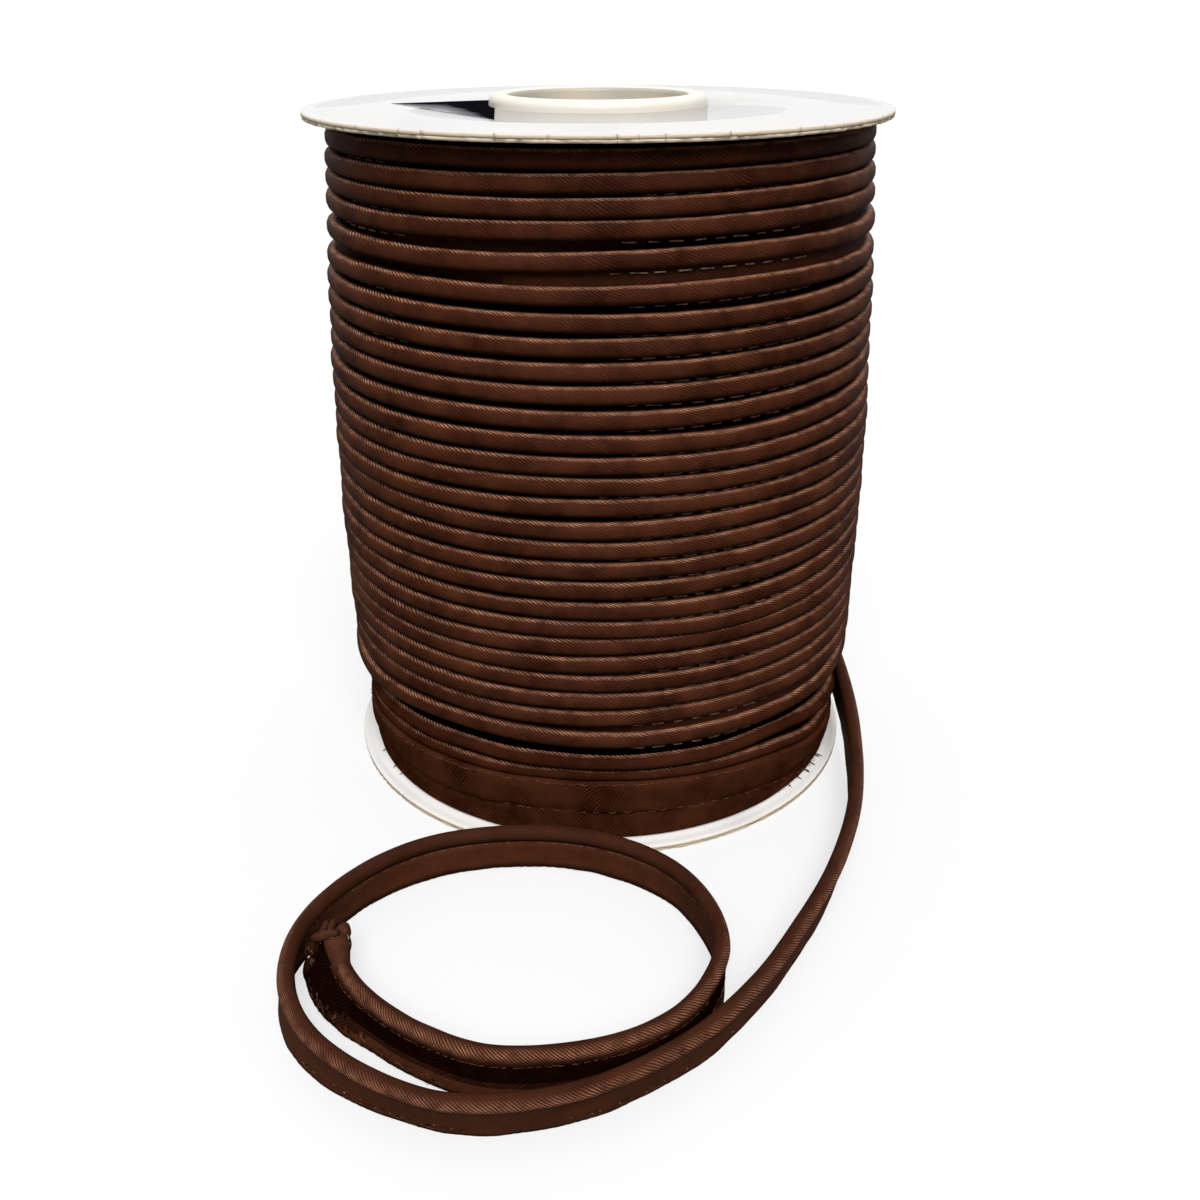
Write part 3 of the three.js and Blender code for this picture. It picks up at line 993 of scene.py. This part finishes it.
# Body under the turns, with the flat band of seam edge at its foot
body = {
    "inner": 23.8,
    "bottom": 1.7,
    "top": 149.6,
    "depth": 4.6,  # below the crests of the beads
    "angles": 300,
    "crease": 9.0,  # at the front
    "frontTop": 17.2,
    "dimBelow": 31,  # painted half shade behind the inner turns, from the next angle on
    "dimFrom": -15,
    "meanRadius": 60,
}
# The band's section below and above its crease: (share of its height, radius)
bandLow = [
    (0, 58.2), (0.1, 58.9), (0.3, 59.1), (0.5, 59.25),
    (0.7, 59.38), (0.85, 59.48), (0.95, 59.5), (1.0, 59.45),
]
bandHigh = [(0.02, 59.62), (0.12, 59.95), (0.3, 60.0), (0.5, 60.05), (0.7, 60.15), (0.9, 60.1), (1, 59.8)]
# Its top edge round the roll: (angle, height)
bandTop = [
    (-180, 13.8), (-139, 15.5), (-117, 16.9), (-101, 17.4), (-89, 17.5), (-65, 16.5), (-48, 14.6),
    (-24, 9.9), (0, 8.4), (40, 8), (90, 10), (150, 12.8), (180, 13.6),
]


def makeBody(spec):
    angle = np.linspace(-180, 180, spec["angles"], endpoint=False)
    turn = np.radians(angle)
    top = tableAt(bandTop, angle)
    crease = spec["crease"] / spec["frontTop"] * top
    crease = crease + 0.4 * wander(angle + 180, 17, 31) + 0.12 * wander(angle, 3, 35)
    columns = [(spec["inner"], spec["bottom"])]
    for share, radius in bandLow:
        height = spec["bottom"] + (crease - spec["bottom"]) * share
        ripple = 0.10 * wander(angle + 180, 9, 32) + 0.07 * wander(angle + 180 + 40 * share, 5, 33)
        columns.append((radius + ripple * min(1, 3 * share), height))
    for share, radius in bandHigh:
        ripple = 0.09 * wander(angle + 180 + 30 * share, 12, 34)
        columns.append((radius + ripple, crease + (top - crease) * share))
    columns += [(58.6, top + 0.1), (57.2, top + 1.5)]
    bandSides = len(columns) - 1
    for height in np.linspace(24, 149, 26):
        level = np.maximum(height, top + 2)
        columns.append((tableAt(barrel, level) - spec["depth"], level))
    columns.append((tableAt(barrel, spec["top"]) - spec["depth"], spec["top"]))
    columns.append((spec["inner"], spec["top"]))
    radius, height = (np.stack([part + 0 * turn for part in parts], -1) for parts in zip(*columns))
    rings = roundAxis(turn[:, None], radius, height)
    rings[:, 1:-1, 0] += winding["shift"]
    around = aroundOf(np.column_stack([radius[0], height[0]]))
    along = np.radians(np.append(angle, 180)) * spec["meanRadius"]
    # The body under the turns is painted black shade, and behind the inner turns painted half shade
    zones = np.tile(np.arange(len(columns)) >= bandSides, (len(angle), 1)).astype(int)
    zones[(zones == 1) & (height < spec["dimBelow"]) & (angle > spec["dimFrom"])[:, None]] = 2
    cloths = [bandCloth, grooveShadeCloth, dimCloth]
    return sweep("windingBody", rings * mm, along * mm, around * mm, zones, cloths, loop=True)


windingBody = makeBody(body)
print("body made")

# Frayed yarn: a light line along the band's top and along its crease, and dark ends on the flange.
# The ends' rows are (angle, radius from, radius to, height from, height to), in degrees and mm.
yarnRadius = {"foot": 0.13, "band": 0.07, "tied": 0.06}
footYarn = [
    (-24.9, 58.4, 60.5, 2.1, 1.78), (-25.5, 58.4, 60.0, 2.3, 1.78), (-29.2, 58.4, 60.2, 2.2, 1.78),
    (-32.3, 58.4, 60.0, 2.1, 1.78), (-32.8, 58.4, 60.3, 2.4, 1.78), (-36.2, 58.4, 59.9, 2.1, 1.78),
    (-40.5, 58.4, 59.6, 2.3, 1.78), (-150, 58.4, 59.6, 2.2, 1.78), (-146.5, 58.4, 59.5, 2.2, 1.78),
    (-158, 58.4, 59.7, 2.2, 1.78),
]
bandYarn = [
    {"name": "bandTopYarn", "from": -168, "to": -58, "lift": -0.15, "out": 60.05, "pitch": 1.6},
    {"name": "creaseYarn", "from": -112, "to": -30, "lift": -7.4, "out": 60.02, "pitch": 2.9},
]


def makeFootYarn(rows):
    share = np.linspace(0, 1, 6)
    lines = []
    for index, (angle, near, far, low, high) in enumerate(rows):
        turn = np.radians(angle + 0.08 * np.sin(math.pi * share) * (-1) ** index)
        radius = near + (far - near) * share
        lines.append(roundAxis(turn, radius, low + (high - low) * share, winding["shift"]))
    return fibres("footYarn", np.array(lines) * mm, yarnRadius["foot"] * mm, darkThread)


def makeBandYarn(spec, seed):
    random = np.random.default_rng(seed)
    angles = np.arange(spec["from"], spec["to"], spec["pitch"])
    share = np.linspace(0, 1, 6)
    lines = []
    for angle in angles + random.uniform(-0.4, 0.4, len(angles)):
        along = angle + random.uniform(1.0, 2.0) * share
        height = tableAt(bandTop, along) + spec["lift"] + random.normal(0, 0.13)
        height = height + random.uniform(-0.2, 0.2) * np.sin(math.pi * share)
        radius = spec["out"] + 0.15 * np.sin(math.pi * share)
        lines.append(roundAxis(np.radians(along), radius, height, winding["shift"]))
    return fibres(spec["name"], np.array(lines) * mm, yarnRadius["band"] * mm, seamThread)


rollYarn = [makeFootYarn(footYarn)]
rollYarn += [makeBandYarn(spec, 140 + index) for index, spec in enumerate(bandYarn)]
print("roll yarn made")

# Stitches in the groove just under each bead. They show in two spans at the front and are sunk
# elsewhere; a span is its middle and half width in degrees, and how far its stitches come out.
stitch = {
    "pitch": 4.3,
    "half": 1.75,
    "radius": 0.17,
    "drop": 2.2,  # below the bead's middle
    "sink": 1.6,  # how far the others lie inwards
    "spans": [(-66, 26, 1.0), (-142, 14, 0.9)],
}


def makeWindingStitches(spec):
    steps, centres, out = windingLine(winding)
    arc = lengthAlong(centres)
    random = np.random.default_rng(41)
    places = np.arange(2, arc[-1], spec["pitch"])
    places = places + random.normal(0, 0.12, len(places))
    spots = np.column_stack([np.interp(places, arc, centres[:, axis]) for axis in range(3)])
    outward = np.column_stack([np.interp(places, arc, out[:, axis]) for axis in range(3)])
    direction = np.cross([0, 0, 1], outward)
    wound = np.interp(places, arc, steps)
    angle = winding["startAngle"] + 360 * wound
    shown = [share * np.exp(-(turnAway(angle, middle) / wide) ** 4) for middle, wide, share in spec["spans"]]
    gap = np.interp(places, arc, wideGap(winding, steps, centres[:, 2]))
    depth = 0.15 + 0.22 * wander(wound, 0.21, 42) - spec["sink"] * (1 - np.max(shown, axis=0)) + 0.36 * gap
    spots = spots + outward * depth[:, None]
    spots[:, 2] -= spec["drop"] + 0.1 * wander(wound, 0.09, 43)
    direction[:, 2] += random.normal(0, 0.03, len(places))
    halves = spec["half"] * random.uniform(0.55, 1.1, len(places))
    return rods("windingStitches", spots * mm, direction, halves * mm, spec["radius"] * mm, stitchThread)


windingStitches = makeWindingStitches(stitch)


# Marks of thread on the loose end, by rows of the route: (from row, to row, up, out, pitch,
# half length, radius, scatter, thread), in millimetres from the middle of the strip's width
threadMarks = {
    "underBead": (30.4, 38.2, 2.05, 1.2, 1.4, 0.75, 0.045, 0.03, seamThread),
    "turnLine": (28.8, 31.2, -1.4, 0.82, 1.9, 1.0, 0.06, 0.08, frayThread),
    "footHoles": (9.0, 19.0, -3.3, 0.68, 2.35, 0.48, 0.09, 0.16, darkThread),
    "footSpecks": (11.5, 17.5, -3.35, 0.70, 2.9, 0.24, 0.06, 0.26, stitchThread),
    "footLine": (12.5, 19.5, -4.5, 0.63, 3.4, 0.9, 0.04, 0.2, seamThread),
    "backLine": (13.0, 28.0, 1.62, -0.80, 1.5, 0.8, 0.07, 0.05, frayThread),
    "backSpecks": (21.0, 23.2, -1.3, -0.6, 3.1, 0.25, 0.04, 0.9, seamThread),
    "exitLine": (2.0, 9.5, 1.58, -0.74, 2.4, 1.2, 0.08, 0.05, stitchThread),
}


def makeLooseMarks(name, spec, seed):
    start, end, height, out, pitch, half, radius, scatter, material = spec
    centres, along, side, up, arc, rowAt = looseFrames
    random = np.random.default_rng(seed)
    places = np.arange(np.interp(start, rowAt, arc), np.interp(end, rowAt, arc), pitch)
    places = places + random.normal(0, pitch * 0.12, len(places))
    index = np.clip(np.searchsorted(arc, places), 0, len(arc) - 1)
    rise = (height + random.normal(0, scatter, len(places)))[:, None]
    spots = centres[index] + side[index] * out + up[index] * rise
    directions = along[index] + up[index] * random.normal(0, 0.12, (len(places), 1))
    halves = half * random.uniform(0.6, 1.15, len(places))
    return rods(name, spots * mm, directions, halves * mm, radius * mm, material)


looseMarks = [
    makeLooseMarks(name, spec, 51 + index)
    for index, (name, spec) in enumerate(threadMarks.items())
]


# Curled ends of yarn along the frayed foot of the inner front run
frayedFoot = {
    "from": 34.2,  # rows of the route
    "to": 38.6,
    "count": 70,
    "curl": 0.75,
    "radius": 0.05,
    "out": 0.55,  # from the middle of the strip's width
    "low": -5.2,
    "high": -3.7,
}


def makeFrayedFoot(spec):
    centres, along, side, up, arc, rowAt = looseFrames
    random = np.random.default_rng(77)
    share = np.linspace(0, 1, 9)[None, :]
    lines = []
    for _ in range(spec["count"]):
        row = random.uniform(spec["from"], spec["to"])
        index = min(np.searchsorted(rowAt, row), len(arc) - 1)
        level = random.uniform(spec["low"], spec["high"])
        base = centres[index] + side[index] * spec["out"] + up[index] * level
        size = spec["curl"] * random.uniform(0.5, 1.5)
        wave = random.uniform(0, 2 * math.pi)
        run = size * (1.6 * share + 0.7 * np.sin(2 * math.pi * share + wave))
        rise = size * 1.1 * np.sin(math.pi * share + 0.6 * np.sin(wave)) * random.uniform(0.1, 1)
        out = size * (0.15 + 0.25 * np.sin(math.pi * share)) * random.uniform(0.2, 1)
        line = base + along[index] * run.T + up[index] * rise.T + side[index] * out.T
        line[:, 2] = np.maximum(line[:, 2], 0.1)
        lines.append(line)
    half = spec["count"] // 2
    lines = np.array(lines) * mm
    pale = fibres("frayedFootPale", lines[:half], spec["radius"] * mm, frayThread)
    dark = fibres("frayedFootDark", lines[half:], spec["radius"] * 1.5 * mm, darkThread)
    return [pale, dark]


frayPieces = makeFrayedFoot(frayedFoot)
print("stitches made")

# Tied end: folds of cloth past the cord, each from one place to the next: (right, rise, out)
# from the middle of the bead's end, then half its width, half its depth and its cloth. rise runs
# up and back, out runs up and to the front.
tiedFolds = [
    ((-4.6, 0.4, 0.5), (1.0, 1.3, 3.0), 1.05, 1.2, foldCloth),
    ((-3.0, 0.6, -0.2), (-2.1, 3.8, -1.2), 0.72, 1.3, foldCloth),
    ((-1.4, 0.8, 0.2), (-0.7, 4.1, -1.0), 0.76, 1.4, foldCloth),
    ((0.9, 0.2, 0.4), (1.6, 3.3, -0.9), 1.5, 1.7, foldCloth),
    ((1.7, 1.9, -0.2), (2.35, -1.9, -0.9), 0.85, 1.2, foldCloth),
    # The folds in shadedCloth and dimCloth are painted shade behind the lit ones
    ((-2.8, 0.6, -1.6), (0.2, 2.8, -2.2), 1.5, 1.2, shadedCloth),
    ((-1.7, 0.2, -0.6), (-2.6, -3.0, -1.3), 1.2, 1.0, shadedCloth),
    ((-4.3, 0.4, -0.6), (-5.0, -2.7, -1.0), 1.25, 1.3, dimCloth),
    ((-5.3, -3.2, -1.2), (-5.9, -7.0, -2.8), 0.9, 0.8, dimCloth),
    ((-3.4, -0.6, -1.4), (-3.8, -4.6, -2.4), 1.7, 1.2, shadedCloth),
]


# The end's own directions and the middle of the bead there
def tiedFrame():
    centres, along, side, up, arc, rowAt = looseFrames
    middle = centres[-1] + up[-1] * (looseEnd["tapeWidth"] - looseEnd["beadDiameter"]) / 2
    slope = math.sqrt(0.5)
    return middle, np.array([[1, 0, 0], [0, slope, slope], [0, -slope, slope]])


def makeTiedFold(name, spec, seed):
    start, end, wide, deep, cloth = spec
    middle, directions = tiedFrame()
    first, last = (middle + np.array(place) @ directions for place in (start, end))
    length = np.linalg.norm(last - first)
    axis = (last - first) / length
    across = normalised(np.cross(directions[2], axis))
    out = np.cross(axis, across)
    share = np.linspace(0, 1, 16)
    turn = np.linspace(0, 2 * math.pi, 28, endpoint=False)
    size = np.sin(math.pi * (0.06 + 0.88 * share)) ** 0.45
    crumple = 1 + 0.05 * wander(turn, 1.1, seed)[None, :] + 0.05 * wander(share * 8, 3, seed + 1)[:, None]
    line = first + (last - first) * share[:, None]
    reach = (size[:, None] * crumple)[:, :, None]
    rings = line[:, None] + reach * wide * np.cos(turn)[None, :, None] * across
    rings = rings + reach * deep * np.sin(turn)[None, :, None] * out
    rings[:, :, 2] = np.maximum(rings[:, :, 2], 0.1)
    around = np.linspace(0, math.pi * (wide + deep), len(turn) + 1)
    return sweep(name, rings * mm, share * length * mm, around * mm, [0] * len(turn), [cloth])


# Loose yarn at the tied end: (right, rise, out) of the middle, its spread, count and thread
tiedYarn = [
    ((2.4, 0.6, 1.0), 0.26, 6, paleThread),
    ((-4.9, -1.5, 0.4), 0.6, 9, frayThread),
    ((-4.3, -3.6, 0.0), 0.3, 4, frayThread),
]


def makeTiedYarn(name, spec, seed):
    place, reach, count, material = spec
    middle, directions = tiedFrame()
    random = np.random.default_rng(seed)
    share = np.linspace(0, 1, 8)[:, None]
    lines = []
    for _ in range(count):
        start = np.array(place) + random.normal(0, reach, 3) * [1, 1, 0.3]
        way = np.array([random.uniform(-0.5, 0.5), random.uniform(0.6, 1.3), 0]) * random.choice([-1, 1])
        bend = np.array([random.uniform(-0.6, 0.6), 0, random.uniform(0.1, 0.4)])
        line = start + way * share + bend * np.sin(math.pi * share)
        lines.append(middle + line @ directions)
    return fibres(name, np.array(lines) * mm, yarnRadius["tied"] * mm, material)


tiedPieces = [makeTiedFold(f"tiedFold{index}", spec, 90 + 2 * index) for index, spec in enumerate(tiedFolds)]
yarnPieces = [makeTiedYarn(f"tiedYarn{index}", spec, 120 + index) for index, spec in enumerate(tiedYarn)]
print("tied end made")

# Spool: two card discs with cracked two-ply edges, and the tube through them
disc = {
    "radius": 62.5,
    "thickness": 1.6,
    "seam": 0.47,  # where the two plies meet, as a share of the thickness
    "hole": 23.5,
    "ease": 0.3,
    "labelRadius": 59.6,
    "topHeight": 151.5,
    "topCracks": 40,
    "bottomCracks": 8,
    "crackWidth": 0.13,
    "crackDepth": (0.1, 0.55),
    "cracksTorn": 0.75,  # share of the cracks whose sides show torn card
    "fray": 0.14,
    "angles": 400,
    "label": 0.05,  # the bare label place is this much higher
}


def crackAngles(count, seed):
    random = np.random.default_rng(seed)
    places = np.cumsum(random.uniform(0.35, 1.65, count))
    return places / places[-1] * 2 * math.pi


def makeDisc(name, bottom, count, face, seed):
    spec = disc
    random = np.random.default_rng(seed)
    cracks = crackAngles(count, seed)
    width = spec["crackWidth"] / spec["radius"]
    plain = np.linspace(0, 2 * math.pi, spec["angles"], endpoint=False)
    gap = np.min(np.abs((plain[:, None] - cracks[None, :] + math.pi) % (2 * math.pi) - math.pi), axis=1)
    plain = plain[gap > 2.5 * width]
    angles = np.concatenate([plain, cracks - width, cracks, cracks + width]) % (2 * math.pi)
    notch = np.concatenate([0 * plain, 0 * cracks, 1 + 0 * cracks, 0 * cracks])
    order = np.argsort(angles)
    angles, notch = angles[order], notch[order]
    edge, ease = spec["radius"], spec["ease"]
    middle = bottom + spec["thickness"] * spec["seam"]
    top = bottom + spec["thickness"]
    label = top + spec["label"]
    profile = np.array([
        (spec["hole"], bottom), (edge - 1.2, bottom), (edge - 0.25, bottom + 0.03),
        (edge - 0.05, bottom + 0.22), (edge - 0.04, middle - 0.07), (edge - 0.2, middle),
        (edge - 0.02, middle + 0.06), (edge, top - ease), (edge - 0.08, top - 0.1), (edge - ease, top),
        (edge - 1.4, top), (spec["labelRadius"] + 0.1, top - 0.02), (spec["labelRadius"], label),
        (45, label), (spec["hole"], label),
    ])
    radius = np.tile(profile[:, 0], (len(angles), 1))
    height = np.tile(profile[:, 1], (len(angles), 1))
    deep = random.uniform(*spec["crackDepth"], len(angles))
    radius[:, 3:9] -= (notch * deep)[:, None]
    run = angles * 60  # about the way along the edge
    radius[:, 2:5] -= spec["fray"] * np.abs(wander(run, 1.1, seed + 1))[:, None]
    height[:, 2] += 0.12 * np.abs(wander(run, 0.9, seed + 2))
    radius[:, 6:9] -= 0.03 * np.abs(wander(run, 2.2, seed + 3))[:, None]
    rings = roundAxis(angles[:, None], radius, height)
    along = np.append(angles, angles[0] + 2 * math.pi) * edge
    # The glossy face is 0, the plain card of the edge 1, and the torn card of its cracks 2
    zones = np.tile([1, 1, 1, 1, 2, 2, 1, 1, 0, 0, 0, 0, 0, 0, 1], (len(angles), 1))
    torn = random.uniform(0, 1, len(angles)) < spec["cracksTorn"]
    zones[(notch + np.roll(notch, -1) > 0) & torn, 3:9] = 2
    cards = [face, cardEdge, cardCrack]
    return sweep(name, rings * mm, along * mm, aroundOf(profile) * mm, zones, cards, loop=True)


upperLevel = disc["topHeight"] - disc["thickness"]
topFlange = makeDisc("topFlange", upperLevel, disc["topCracks"], cardFace, 61)
bottomFlange = makeDisc("bottomFlange", 0.0, disc["bottomCracks"], cardFaceLowLit, 71)


# The printed wedge is a fan of thin strips round its tip
def makeWedge(spec):
    tip, back, front = (np.array(spec[key]) for key in ("tip", "back", "front"))
    shares = np.linspace(0, 1, spec["strips"] + 1)
    far = back + (front - back) * shares[:, None]
    near = tip + (far - tip) * 0.004  # so that no face ends in a point
    rings = np.empty((len(shares), 4, 3))
    rings[:, (0, 3), :2] = near[:, None]
    rings[:, (1, 2), :2] = far[:, None]
    rings[:, :2, 2] = spec["height"]
    rings[:, 2:, 2] = spec["height"] - spec["thickness"]
    around = np.array([0, 1, 1, 0, 0], float)
    piece = sweep("printedWedge", rings * mm, shares, around, [0] * 4, [wedgePrint], smooth=False)
    # Its finish fades by the way from the tip first and the way round second
    for corner in piece.data.uv_layers["strip"].data:
        corner.uv = (corner.uv[1], corner.uv[0])
    return piece


printedWedge = makeWedge(wedge)

tube = {"outer": 23.4, "bore": 19.0, "top": 153.9, "rim": 1.7, "angles": 160}


def makeTube(spec):
    outer, bore, top, rim = (spec[key] for key in ("outer", "bore", "top", "rim"))
    turns = np.radians(np.linspace(0, 90, 7))
    profile = [(bore, 0.0), (outer, 0.0)]
    profile += [(outer - rim + rim * math.cos(t), top - rim + rim * math.sin(t)) for t in turns]
    profile += [(bore + 1.2, top), (bore + 0.4, top - 0.3), (bore, top - 1)]
    profile = np.array(profile)
    angles = np.linspace(0, 2 * math.pi, spec["angles"] + 1)
    rings = roundAxis(angles[:-1, None], profile[:, 0], profile[:, 1])
    zones = [0] * (len(profile) - 2) + [1, 1]
    along, around = angles * outer, aroundOf(profile)
    return sweep("coreTube", rings * mm, along * mm, around * mm, zones, [tubeCard, tubeInside], loop=True)


coreTube = makeTube(tube)
print("spool made")

# What stands for what, and what rides where
trimmings = looseMarks + frayPieces + tiedPieces + yarnPieces
clothPieces = [windingTurns, windingBody, windingStitches, looseStrand]
clothPieces += innerPieces + rollYarn + trimmings
for piece in clothPieces:
    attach(piece, "root")
for piece in (topFlange, bottomFlange, printedWedge):
    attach(piece, "root")
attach(coreTube, "root")
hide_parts("winding")
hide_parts("winding")
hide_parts("loose_end")
for piece in tiedPieces:
    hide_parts("tied_end")
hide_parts("flange_top")
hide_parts("flange_bottom")
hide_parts("core_tube")

# Floor and lights: the floor is lit evenly and gives the roll little light back
studio = {
    "floorWidth": 160.0,
    "floorGlow": 0.65,
    "floorShade": 0.28,
    "floorBounce": 0.16,
    "skyLow": 0.10,
    "skyHigh": 0.80,
    "skyBack": 0.95,
    "sunFrom": (0.04, -0.62, 0.78),
    "sunSpread": 34,  # degrees
    "sunStrength": 2.8,
}


def makeFloor(spec):
    material, tree, shader = newMaterial("floorPaper", 0.9, 0.0)
    seen = addNode(tree, "ShaderNodeLightPath").outputs["Is Camera Ray"]
    bounce = [spec["floorBounce"]] * 3 + [1]
    shade = [spec["floorShade"]] * 3 + [1]
    feed(tree, shader.inputs["Base Color"], blendColour(tree, seen, bounce, shade))
    shader.inputs["Emission Color"].default_value = (1, 1, 1, 1)
    feed(tree, shader.inputs["Emission Strength"], calc(tree, "MULTIPLY", seen, spec["floorGlow"]))
    half = spec["floorWidth"] / 2
    points = np.array([(-half, -half, 0), (half, -half, 0), (half, half, 0), (-half, half, 0)])
    floor = meshPiece("floor", points, [[0, 1, 2, 3]], None, None, [material])


def makeLights(spec):
    data = bpy.data.lights.new("softSun", "SUN")
    data.angle = math.radians(spec["sunSpread"])
    data.energy = spec["sunStrength"]
    lamp = bpy.data.objects.new("softSun", data)
    lamp.location = spec["sunFrom"]
    lamp.rotation_mode = "QUATERNION"
    lamp.rotation_quaternion = (-Vector(spec["sunFrom"])).to_track_quat("-Z", "Y")
    bpy.context.scene.collection.objects.link(lamp)
    world = bpy.data.worlds.new("studio")
    world.use_nodes = True
    tree = world.node_tree
    split = splitUp(tree, addNode(tree, "ShaderNodeTexCoord").outputs["Generated"])
    strength = spread(tree, split["Z"], 0.15, 0.9, spec["skyLow"], spec["skyHigh"])
    back = calc(tree, "MULTIPLY", spread(tree, split["Y"], 0.35, 0.65), spec["skyBack"])
    strength = calc(tree, "MAXIMUM", strength, back)
    seen = addNode(tree, "ShaderNodeLightPath").outputs["Is Camera Ray"]
    strength = calc(tree, "MAXIMUM", strength, seen)
    tree.nodes["Background"].inputs["Color"].default_value = (1, 1, 1, 1)
    feed(tree, tree.nodes["Background"].inputs["Strength"], strength)
    bpy.context.scene.world = world


makeFloor(studio)
makeLights(studio)
bpy.context.scene.view_settings.view_transform = "Standard"
print("studio made")
